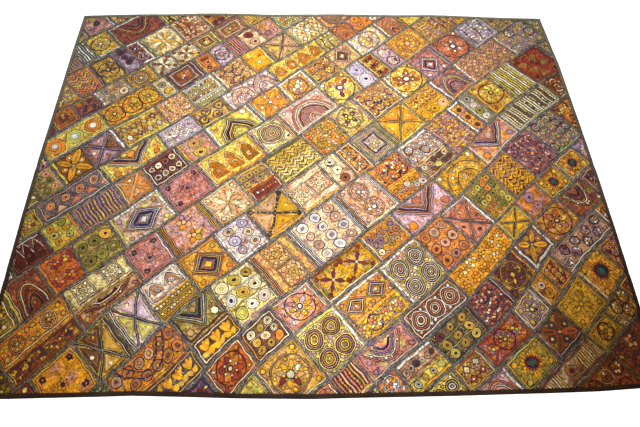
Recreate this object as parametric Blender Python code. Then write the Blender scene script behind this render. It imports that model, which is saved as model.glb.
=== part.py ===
# Embroidered patchwork wall hanging, 2.00 m wide and 1.57 m high: a quilted ground of old embroidered
# patches joined in slanting rows, with a braid over every seam, and a folded binding on each of its
# four edges. It hangs free from its top edge.
# Frame: metres, +X to the viewer's right, +Z up, the embroidered face towards -Y. The origin is the
# middle of the ground's top edge, on its back face.

import math
from typing import NamedTuple

import bmesh
import bpy
import numpy as np
from mathutils import Vector

MM = 0.001

# The ground cloth
WIDTH = 2.000            # between its top corners
HEIGHT = 1.570           # between its top and bottom corners
THICKNESS = 1.9 * MM     # patch, wadding and backing together
STATION_STEP = 0.050     # spacing of the points along an edge

# Seams and the braid on them
ROW_SLANT = math.radians(40.0)   # the rows climb to the right by this angle
BRAID_HALF = 4.5 * MM            # half the width of the ridge that a braid makes
BRAID_RISE = 1.1 * MM            # its height over the patches
SMALLEST_PATCH = 9.0 * MM        # a scrap whose inscribed circle is smaller stays plain
SHORTEST_EDGE = 1.2 * MM         # points closer than this become one

# The binding
BINDING_FACE = 12.0 * MM   # what it covers of the face and of the back
BINDING_WALL = 0.8 * MM    # its own folded cloth
CLEARANCE = 0.4 * MM       # between its inside and the ground
END_GAP = 0.4 * MM         # between a side binding and the top or bottom one
FLAT_BAND = 13.0 * MM      # the ground's plain band under the binding
RAMP = 5.0 * MM            # from that band up to the first seam


class Bow(NamedTuple):
    along: float   # distance from the edge's first corner, in mm
    out: float     # how far the edge stands outside the straight line, in mm


# Each edge runs left to right or top to bottom
TOP_BOWS = (Bow(0, 0), Bow(280, 11), Bow(540, 18), Bow(800, 14), Bow(1065, 18), Bow(1500, 16),
            Bow(1735, 8), Bow(1870, 3), Bow(2000, 0))
BOTTOM_BOWS = (Bow(0, 0), Bow(100, 4), Bow(450, 0), Bow(600, 6), Bow(740, 12), Bow(970, 18),
               Bow(1400, 15), Bow(1650, 13), Bow(1810, 10), Bow(1890, 6), Bow(2000, 0))
LEFT_BOWS = (Bow(0, 0), Bow(220, 5), Bow(550, 8), Bow(780, 11), Bow(980, 9), Bow(1230, 4),
             Bow(1570, 0))
RIGHT_BOWS = (Bow(0, 0), Bow(190, 10), Bow(270, 16), Bow(500, 18), Bow(830, 21), Bow(1060, 18),
              Bow(1310, 13), Bow(1570, 0))


class Row(NamedTuple):
    depth: float    # across the row, in mm
    start: float    # the first cross seam, in mm along the row from the frame's origin
    widths: tuple   # the patches between cross seams, in mm, from the lower left


FIRST_ROW = 640.0   # upper side of the first row, in mm across the rows from the corners' line

ROWS = (
    Row(135, 0, ()),
    Row(132, -906, (70, 98, 216)),
    Row(145, -1004, (105, 105, 133, 146, 129, 88)),
    Row(94, -1150, (188, 140, 112, 146, 63, 105, 133)),
    Row(110, -1241, (251, 231, 63, 139, 217, 182, 174)),
    Row(123, -1332, (88, 122, 130, 181, 122, 144, 146, 101, 135, 158, 161)),
    Row(95, -1444, (84, 245, 237, 147, 144, 233, 256, 177, 175)),
    Row(113, -1514, (126, 112, 161, 111, 147, 126, 202, 147, 135, 128, 121, 158, 108, 153)),
    Row(136, -1576, (125, 115, 137, 199, 160, 230, 140, 216, 142, 237, 156, 168, 98)),
    Row(140, -1667, (233, 217, 127, 173, 147, 125, 182, 140, 132, 165, 150, 132, 154, 151, 98)),
    Row(145, -1625, (146, 119, 116, 138, 148, 133, 154, 167, 161, 147, 146, 154, 147, 254, 182)),
    Row(178, -1468, (241, 151, 149, 158, 216, 161, 152, 161, 130, 136, 127, 131, 165)),
    Row(116, -1241, (139, 130, 146, 223, 154, 216, 203, 217, 265)),
    Row(168, -1129, (156, 154, 192, 171, 137, 126, 136, 126, 145, 151)),
    Row(99, -976, (95, 194, 217, 265, 242, 245)),
    Row(111, -885, (77, 144, 173, 127, 136, 130, 145, 144)),
    Row(92, -787, (216, 171, 106, 142, 259)),
    Row(109, -682, (132, 143, 127, 142, 133)),
    Row(77, -536, (252, 216)),
    Row(168, 0, ()),
)


class Flute(NamedTuple):
    at: float       # x at the top edge, in mm
    half: float     # half its width, in mm
    top: float      # how far it comes forward at the top edge, in mm
    bottom: float   # and at the bottom edge, in mm
    lean: float     # how far it has moved to the right at the bottom edge, in mm


# Soft upright folds of the hanging cloth, left to right
FLUTES = (
    Flute(-820, 260, 1.5, 6.0, -60),
    Flute(-380, 300, 3.0, 5.0, 40),
    Flute(90, 340, 2.0, 7.5, -30),
    Flute(560, 280, 3.5, 5.5, 60),
    Flute(900, 220, 1.0, 7.0, 20),
)


class Crease(NamedTuple):
    axis: str      # "x" for an upright crease, "z" for a level one
    at: float      # its place on that axis, in mm from the corners' line or the middle
    half: float    # half its width, in mm
    depth: float   # how far it lies back, in mm


# Where the hanging was folded for storage
CREASES = (
    Crease("z", -780, 22, 2.4),
    Crease("z", -1210, 20, 1.4),
    Crease("x", 0, 20, 1.2),
)


def bow_at(bows, along):
    """How far an edge stands out at a distance along it, in metres."""
    return float(np.interp(along / MM, [b.along for b in bows], [b.out for b in bows])) * MM


CORNER_Z = -bow_at(TOP_BOWS, WIDTH / 2)   # the corners lie below the middle of the top edge


def top_edge(x):
    return CORNER_Z + bow_at(TOP_BOWS, x + WIDTH / 2)


def bottom_edge(x):
    return CORNER_Z - HEIGHT - bow_at(BOTTOM_BOWS, x + WIDTH / 2)


def left_edge(z):
    return -WIDTH / 2 - bow_at(LEFT_BOWS, CORNER_Z - z)


def right_edge(z):
    return WIDTH / 2 + bow_at(RIGHT_BOWS, CORNER_Z - z)


def stations(length):
    """Evenly spaced distances along an edge, both ends among them."""
    return np.linspace(0, length, round(length / STATION_STEP) + 1)


def flute_forward(x, z):
    """The upright folds: each a cosine-squared bump that deepens and leans on its way down."""
    forward = 0.0
    for flute in FLUTES:
        down = -z / HEIGHT
        offset = (x / MM - flute.at - flute.lean * down) / flute.half
        if abs(offset) < 1:
            depth = flute.top + (flute.bottom - flute.top) * down
            forward += depth * MM * math.cos(math.pi / 2 * offset) ** 2
    return forward


def crease_back(x, z):
    """The storage creases: each a shallow V, its sides straight from its line to its half width."""
    back = 0.0
    for crease in CREASES:
        place = x if crease.axis == "x" else z - CORNER_Z
        offset = abs(place / MM - crease.at) / crease.half
        back += crease.depth * MM * max(0.0, 1 - offset)
    return back


def drape(bm):
    """Cuts a flat piece along the creases, splits it into triangles and gives it the hung shape."""
    for crease in CREASES:
        for side in (-crease.half, 0, crease.half):
            place = (crease.at + side) * MM
            if crease.axis == "x":
                point, normal = Vector((place, 0, 0)), Vector((1, 0, 0))
            else:
                point, normal = Vector((0, 0, place + CORNER_Z)), Vector((0, 0, 1))
            bmesh.ops.bisect_plane(bm, geom=bm.verts[:] + bm.edges[:] + bm.faces[:],
                                   plane_co=point, plane_no=normal, dist=1e-6)
    bmesh.ops.triangulate(bm, faces=bm.faces[:], quad_method="BEAUTY", ngon_method="BEAUTY")
    for vert in bm.verts:
        vert.co.y += crease_back(vert.co.x, vert.co.z) - flute_forward(vert.co.x, vert.co.z)


def ground_outline():
    """The ground's edge points, clockwise as the viewer sees them, on its back face."""
    points = []
    for along in stations(WIDTH)[:-1]:
        points.append((along - WIDTH / 2, top_edge(along - WIDTH / 2)))
    for along in stations(HEIGHT)[:-1]:
        points.append((right_edge(CORNER_Z - along), CORNER_Z - along))
    for along in stations(WIDTH)[:0:-1]:
        points.append((along - WIDTH / 2, bottom_edge(along - WIDTH / 2)))
    for along in stations(HEIGHT)[:0:-1]:
        points.append((left_edge(CORNER_Z - along), CORNER_Z - along))
    return [Vector((x, 0, z)) for x, z in points]


def cut_seams(bm, patch_mark):
    """Cuts the marked face along the row seams, and each row along its own cross seams."""
    along = Vector((math.cos(ROW_SLANT), 0, math.sin(ROW_SLANT)))
    across = Vector((-math.sin(ROW_SLANT), 0, math.cos(ROW_SLANT)))
    corner_line = Vector((0, 0, CORNER_Z))

    def cut(faces, direction, distance):
        edges = {edge for face in faces for edge in face.edges}
        verts = {vert for face in faces for vert in face.verts}
        bmesh.ops.bisect_plane(bm, geom=list(verts) + list(edges) + list(faces),
                               plane_co=corner_line + direction * distance * MM,
                               plane_no=direction, dist=1e-6)

    def marked(upper, lower):
        found = []
        for face in bm.faces:
            place = (face.calc_center_median() - corner_line).dot(across) / MM
            if face[patch_mark] and lower < place < upper:
                found.append(face)
        return found

    upper = FIRST_ROW
    for row in ROWS[:-1]:
        upper -= row.depth
        cut(marked(math.inf, -math.inf), across, upper)
    upper = FIRST_ROW
    for row in ROWS:
        seam = row.start
        for width in (0,) + row.widths if row.widths else ():
            seam += width
            cut(marked(upper, upper - row.depth), along, seam)
        upper -= row.depth


def build_ground(collection):
    """The quilted ground: cut into its patches, thickened, with a ridge where each braid lies."""
    bm = bmesh.new()
    patch_mark = bm.faces.layers.int.new("patch")
    sheet = bm.faces.new([bm.verts.new(point) for point in ground_outline()])
    sheet[patch_mark] = 1
    for depth in (FLAT_BAND, RAMP):
        bm.normal_update()
        ring = bmesh.ops.inset_region(bm, faces=[sheet], thickness=depth, use_boundary=True,
                                      use_even_offset=True)
        for face in ring["faces"]:
            face[patch_mark] = 0
    cut_seams(bm, patch_mark)
    bmesh.ops.remove_doubles(bm, verts=bm.verts[:], dist=SHORTEST_EDGE)

    front = bmesh.ops.extrude_face_region(bm, geom=bm.faces[:])["geom"]
    for vert in [item for item in front if isinstance(item, bmesh.types.BMVert)]:
        vert.co.y -= THICKNESS
    front = [item for item in front if isinstance(item, bmesh.types.BMFace)]
    patches = []
    for face in front:
        inscribed = 2 * face.calc_area() / face.calc_perimeter()
        if face[patch_mark] and inscribed > SMALLEST_PATCH:
            patches.append(face)
    slopes = bmesh.ops.inset_individual(bm, faces=patches, thickness=BRAID_HALF,
                                        use_even_offset=True)["faces"]
    patch_verts = {vert for face in patches for vert in face.verts}
    seam_verts = {vert for face in slopes for vert in face.verts} - patch_verts
    for vert in seam_verts:
        vert.co.y -= BRAID_RISE
    bmesh.ops.recalc_face_normals(bm, faces=bm.faces[:])
    drape(bm)
    add_object("ground_cloth", bm, collection, "old embroidered cotton", "8a4f33", 0.9)


def binding_profile():
    """The folded strip's section, as (inwards from the ground's edge, y), a U round the edge."""
    back = CLEARANCE
    front = -THICKNESS - CLEARANCE
    outer = -CLEARANCE - BINDING_WALL
    return ((BINDING_FACE, back + BINDING_WALL), (outer, back + BINDING_WALL),
            (outer, front - BINDING_WALL), (BINDING_FACE, front - BINDING_WALL),
            (BINDING_FACE, front), (-CLEARANCE, front), (-CLEARANCE, back), (BINDING_FACE, back))


def build_binding(name, places, collection):
    """A folded strip: the U section set at each place, given as (edge point, inward direction)."""
    bm = bmesh.new()
    sections = []
    for point, inward in places:
        section = []
        for depth, y in binding_profile():
            section.append(bm.verts.new(point + inward * depth + Vector((0, y, 0))))
        sections.append(section)
    for one, two in zip(sections, sections[1:]):
        for k in range(len(one)):
            nxt = (k + 1) % len(one)
            bm.faces.new((one[k], one[nxt], two[nxt], two[k]))
    bm.faces.new(sections[0])
    bm.faces.new(sections[-1])
    bmesh.ops.recalc_face_normals(bm, faces=bm.faces[:])
    drape(bm)
    add_object(name, bm, collection, "dark brown cotton binding", "3a2a25", 0.85)


def build_bindings(collection):
    """Top and bottom strips cover the corners, and the side strips butt against them."""
    overhang = CLEARANCE + BINDING_WALL
    for name, edge, inward in (("binding_top", top_edge, -1), ("binding_bottom", bottom_edge, 1)):
        places = []
        for along in stations(WIDTH):
            x = along - WIDTH / 2
            z = edge(x)
            if abs(x) > WIDTH / 2 - 1e-6:
                x += math.copysign(overhang, x)
            places.append((Vector((x, 0, z)), Vector((0, 0, inward))))
        build_binding(name, places, collection)
    for name, edge, inward in (("binding_left", left_edge, 1), ("binding_right", right_edge, -1)):
        end = BINDING_FACE + END_GAP
        places = []
        for along in stations(HEIGHT):
            z = CORNER_Z - min(max(along, end), HEIGHT - end)
            places.append((Vector((edge(z), 0, z)), Vector((inward, 0, 0))))
        build_binding(name, places, collection)


def linear(hex_colour):
    """An sRGB hex colour as linear RGBA."""
    channels = [int(hex_colour[k:k + 2], 16) / 255 for k in (0, 2, 4)]
    return [c / 12.92 if c <= 0.04045 else ((c + 0.055) / 1.055) ** 2.4 for c in channels] + [1.0]


def cloth_material(name, hex_colour, roughness):
    material = bpy.data.materials.new(name)
    material.use_nodes = True
    shader = material.node_tree.nodes["Principled BSDF"]
    shader.inputs["Base Color"].default_value = linear(hex_colour)
    shader.inputs["Roughness"].default_value = roughness
    shader.inputs["Metallic"].default_value = 0.0
    return material


def add_object(name, bm, collection, material_name, hex_colour, roughness):
    mesh = bpy.data.meshes.new(name)
    bm.to_mesh(mesh)
    bm.free()
    mesh.materials.append(cloth_material(f"{material_name}, {name}", hex_colour, roughness))
    collection.objects.link(bpy.data.objects.new(name, mesh))


def main():
    for old in list(bpy.data.objects):
        bpy.data.objects.remove(old, do_unlink=True)
    collection = bpy.data.collections.new("embroidered_wall_hanging")
    bpy.context.scene.collection.children.link(collection)
    build_ground(collection)
    build_bindings(collection)


main()
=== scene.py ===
import math
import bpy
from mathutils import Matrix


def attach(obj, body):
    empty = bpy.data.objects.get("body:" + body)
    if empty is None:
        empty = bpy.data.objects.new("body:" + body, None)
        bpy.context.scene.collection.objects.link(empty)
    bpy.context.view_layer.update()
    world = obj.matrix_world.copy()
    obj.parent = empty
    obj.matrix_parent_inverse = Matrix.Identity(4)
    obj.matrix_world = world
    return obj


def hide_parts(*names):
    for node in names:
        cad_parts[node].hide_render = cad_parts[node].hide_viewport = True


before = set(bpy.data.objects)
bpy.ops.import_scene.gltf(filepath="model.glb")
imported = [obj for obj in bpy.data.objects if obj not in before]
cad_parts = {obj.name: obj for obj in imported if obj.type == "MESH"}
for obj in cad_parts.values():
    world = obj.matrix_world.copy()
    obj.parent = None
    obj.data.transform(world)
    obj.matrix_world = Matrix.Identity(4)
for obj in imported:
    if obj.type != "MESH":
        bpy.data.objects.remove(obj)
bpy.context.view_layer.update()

from types import SimpleNamespace
import bpy
import numpy as np

# Embroidered patchwork wall hanging, dressed over its plain solids.
# Lengths in the charts are mm, lengths in the meshes are m. The face looks along -Y.
mm = 0.001
dice = np.random.default_rng(27)

# the cloth as it hangs: the same edges, folds and creases as the plain solid
cloth = {
    "width": 2.000,
    "height": 1.570,
    "slant": 40.0,            # degrees that the patch rows climb to the right
    "bindingFace": 12.0,      # mm of the face under the binding
    "sheetFront": 0.6,        # mm from the back to the backing's front
    "backing": "6b4a36",
    "gridStep": 0.012,
    "pucker": 0.7,            # mm, small puckers from the quilting
    "seamWander": 3.6,        # mm, hand-sewn seams are never quite straight
    "bendLeft": -34.0,        # mm across the rows, how far they bend at the lower left and at the right
    "bendRight": 36.0,
    "sideShade": 0.22,             # painted shade: how much darker the sides are painted than the middle
}
# bows of the edges, mm: place along the edge from the left or the top corner, and how far it stands out
topBow = ((0, 0), (280, 11), (540, 18), (800, 14), (1065, 18), (1500, 16), (1735, 8), (1870, 3), (2000, 0))
bottomBow = ((0, 0), (100, 4), (450, 0), (600, 6), (740, 12), (970, 18), (1400, 15), (1650, 13),
             (1810, 10), (1890, 6), (2000, 0))
leftBow = ((0, 0), (220, 5), (550, 8), (780, 11), (980, 9), (1230, 4), (1570, 0))
rightBow = ((0, 0), (190, 10), (270, 16), (500, 18), (830, 21), (1060, 18), (1310, 13), (1570, 0))
# upright folds: x at the top, half width, forward at the top, forward at the bottom, lean (all mm)
flutes = ((-820, 260, 1.5, 6.0, -60), (-380, 300, 3.0, 5.0, 40), (90, 340, 2.0, 7.5, -30),
          (560, 280, 3.5, 5.5, 60), (900, 220, 1.0, 7.0, 20))
# storage creases: axis, place, half width, depth (mm)
creases = (("z", -780, 22, 2.4), ("z", -1210, 20, 1.4), ("x", 0, 20, 1.2))

# thread and cloth colours, sRGB, aged a little by light
palette = {
    "marigold": "dea222", "gold": "cfa640", "lime": "d6c65c", "orange": "d1822e", "peach": "d9a67c",
    "coral": "c07252", "rust": "9a5228", "red": "9e3c24", "maroon": "743028", "pink": "d0a096",
    "mauve": "a47a86", "lilac": "c6aec0", "plum": "5c3244", "cream": "e2d3aa", "white": "e8e3d8",
    "tan": "bd9460", "brown": "704626", "olive": "8d8436", "green": "7d9468", "teal": "2f6156",
    "navy": "26243c", "grey": "a39a8e", "mustard": "c69820",
}


def linear(hexColour):  # sRGB hex to linear: c/12.92 below 0.04045, else ((c + 0.055)/1.055)^2.4
    c = np.array([int(hexColour[k:k + 2], 16) / 255 for k in (0, 2, 4)])
    return np.where(c <= 0.04045, c / 12.92, ((c + 0.055) / 1.055) ** 2.4)


tones = {name: linear(value) for name, value in palette.items()}


def bowAt(bow, along):  # straight between the measured points, in m
    return np.interp(along / mm, [b[0] for b in bow], [b[1] for b in bow]) * mm


cornerZ = -float(bowAt(topBow, 1.0))


def topZ(x):
    return cornerZ + bowAt(topBow, x + 1.0)


def bottomZ(x):
    return cornerZ - cloth["height"] - bowAt(bottomBow, x + 1.0)


def leftX(z):
    return -1.0 - bowAt(leftBow, cornerZ - z)


def rightX(z):
    return 1.0 + bowAt(rightBow, cornerZ - z)


def drapeY(x, z):
    # minus the sum of cosine-squared flutes, plus (1 - t^2)^2 troughs at the creases, plus sine puckers
    y = np.zeros_like(x)
    down = -z / cloth["height"]
    for at, half, top, bottom, lean in flutes:
        t = np.clip((x / mm - at - lean * down) / half, -1, 1)
        y -= (top + (bottom - top) * down) * mm * np.cos(math.pi / 2 * t) ** 2
    for axis, at, half, depth in creases:
        t = np.clip(((x if axis == "x" else z - cornerZ) / mm - at) / half, -1, 1)
        y += depth * mm * (1 - t * t) ** 2
    p = cloth["pucker"] * mm
    return y + p * 0.5 * (np.sin(x * 47 + 3 * np.sin(z * 13)) * np.sin(z * 41 + 2 * np.sin(x * 17))
                          + 0.6 * np.sin(x * 88 + z * 61 + 2) * np.sin(z * 97 - x * 35))


cosSlant, sinSlant = math.cos(math.radians(cloth["slant"])), math.sin(math.radians(cloth["slant"]))


def ramp(x, start, end):  # smooth step, 0 at the start and 1 at the end: t^2 (3 - 2t)
    t = np.clip((x - start) / (end - start), 0, 1)
    return t * t * (3 - 2 * t)


def toWorld(u, v):
    # seam plane (mm) to the hanging's X and Z (m): a slow sine wander, a turn by the slant, then the two
    # places where the rows bend, down at the lower left and up at the right, as products of smooth steps
    w = cloth["seamWander"]
    uu = u + w * (np.sin(v / 171 + 1.3) + 0.6 * np.sin(u / 243 + v / 331) + 0.5 * np.sin(v / 37 + u / 61))
    vv = v + w * (np.sin(u / 205 + 0.7) + 0.5 * np.sin(u / 97 + v / 149) + 0.5 * np.sin(u / 33 + v / 71))
    x, z = (uu * cosSlant - vv * sinSlant) * mm, cornerZ + (uu * sinSlant + vv * cosSlant) * mm
    left = cloth["bendLeft"] * ramp(x, -0.10, -0.45) * ramp(z, -1.24, -1.56)
    right = cloth["bendRight"] * ramp(x, 0.42, 0.86) * ramp(z, -0.15, -0.5) * ramp(z, -1.42, -1.15)
    bend = (left + right) * mm
    return x - bend * sinSlant, z + bend * cosSlant


def edgeRoom(x, z):  # distance in mm to the nearest edge of the cloth, less what the binding covers
    room = np.minimum(np.minimum(x - leftX(z), rightX(z) - x), np.minimum(z - bottomZ(x), topZ(x) - z))
    return room / mm - cloth["bindingFace"] + 1.5


# meshes are gathered as arrays in trays, and each tray becomes one piece
def newTray():  # points, faces with four and three corners, thread colours, stitch places, point count
    return {"xyz": [], "quads": [], "tris": [], "thread": [], "stitch": [], "count": 0}


def gridFaces(rows, columns):
    # the quads of a grid numbered row by row: point k, those after it in the next row, and k + 1
    i, j = np.meshgrid(np.arange(rows - 1), np.arange(columns - 1), indexing="ij")
    k = (i * columns + j).ravel()
    return np.c_[k, k + columns, k + columns + 1, k + 1]


def repeated(faces, times, points):  # the faces of one shape for many alike, so many points apart
    return (faces[None] + (np.arange(times) * points)[:, None, None]).reshape(-1, faces.shape[1])


def paintedLightAndShade(x, z):
    # painted light and shade: darker sides and darker, browner lower corners where less light falls, and a
    # painted highlight low in the middle
    low = ramp(z, -0.85, -1.55)[:, None]
    tone = 1 - cloth["sideShade"] * ramp(np.abs(x - 0.05), 0.45, 1.0)[:, None]
    tone = tone * (1 - low * ramp(x, 0.3, 0.95)[:, None] * [0.46, 0.63, 0.88])
    tone = tone * (1 - low * ramp(x, -0.4, -0.95)[:, None] * [0.06, 0.24, 0.58])
    return tone * (1 + 0.5 * np.exp(-(x / 0.26) ** 2 - ((z + 1.42) / 0.15) ** 2)[:, None])


def lay(tray, xyz, faces, thread, stitch):
    # adds points and faces to a tray, with the faces' numbers past its earlier points and the thread times
    # its painted light and shade
    n = len(xyz)
    if not len(faces):
        return
    tray["xyz"].append(xyz)
    tray["thread"].append(np.broadcast_to(thread, (n, 3)) * paintedLightAndShade(xyz[:, 0], xyz[:, 2]))
    tray["stitch"].append(stitch)
    tray["quads" if faces.shape[1] == 4 else "tris"].append(faces + tray["count"])
    tray["count"] += n


def trisIn(tray):  # two triangles to a quad
    return sum(2 * len(q) for q in tray["quads"]) + sum(len(t) for t in tray["tris"])


def pieceFrom(tray, name, material):
    # joins the tray's arrays into one mesh, with the thread colour and the stitch place on its points
    xyz = np.concatenate(tray["xyz"])
    thread, stitch = np.concatenate(tray["thread"]), np.concatenate(tray["stitch"])
    quads = np.concatenate(tray["quads"]) if tray["quads"] else np.zeros((0, 4), int)
    tris = np.concatenate(tray["tris"]) if tray["tris"] else np.zeros((0, 3), int)
    indices = np.concatenate([quads.ravel(), tris.ravel()])
    used, indices = np.unique(indices, return_inverse=True)
    xyz, thread, stitch = xyz[used], thread[used], stitch[used]
    starts = np.concatenate([np.arange(len(quads)) * 4, 4 * len(quads) + np.arange(len(tris)) * 3])
    mesh = bpy.data.meshes.new(name)
    mesh.vertices.add(len(xyz))
    mesh.vertices.foreach_set("co", xyz.astype(np.float32).ravel())
    mesh.loops.add(len(indices))
    mesh.loops.foreach_set("vertex_index", indices.astype(np.int32))
    mesh.polygons.add(len(starts))
    mesh.polygons.foreach_set("loop_start", starts.astype(np.int32))
    mesh.update(calc_edges=True)
    colour = mesh.attributes.new("thread", "FLOAT_COLOR", "POINT")
    colour.data.foreach_set("color", np.c_[thread, np.ones(len(thread))].astype(np.float32).ravel())
    place = mesh.attributes.new("stitch", "FLOAT_VECTOR", "POINT")
    place.data.foreach_set("vector", stitch.astype(np.float32).ravel())
    mesh.shade_smooth()
    mesh.materials.append(material)
    piece = bpy.data.objects.new(name, mesh)
    bpy.context.scene.collection.objects.link(piece)
    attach(piece, "root")
    print(name, len(xyz), "points", 2 * len(quads) + len(tris), "triangles")
    return piece


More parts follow.
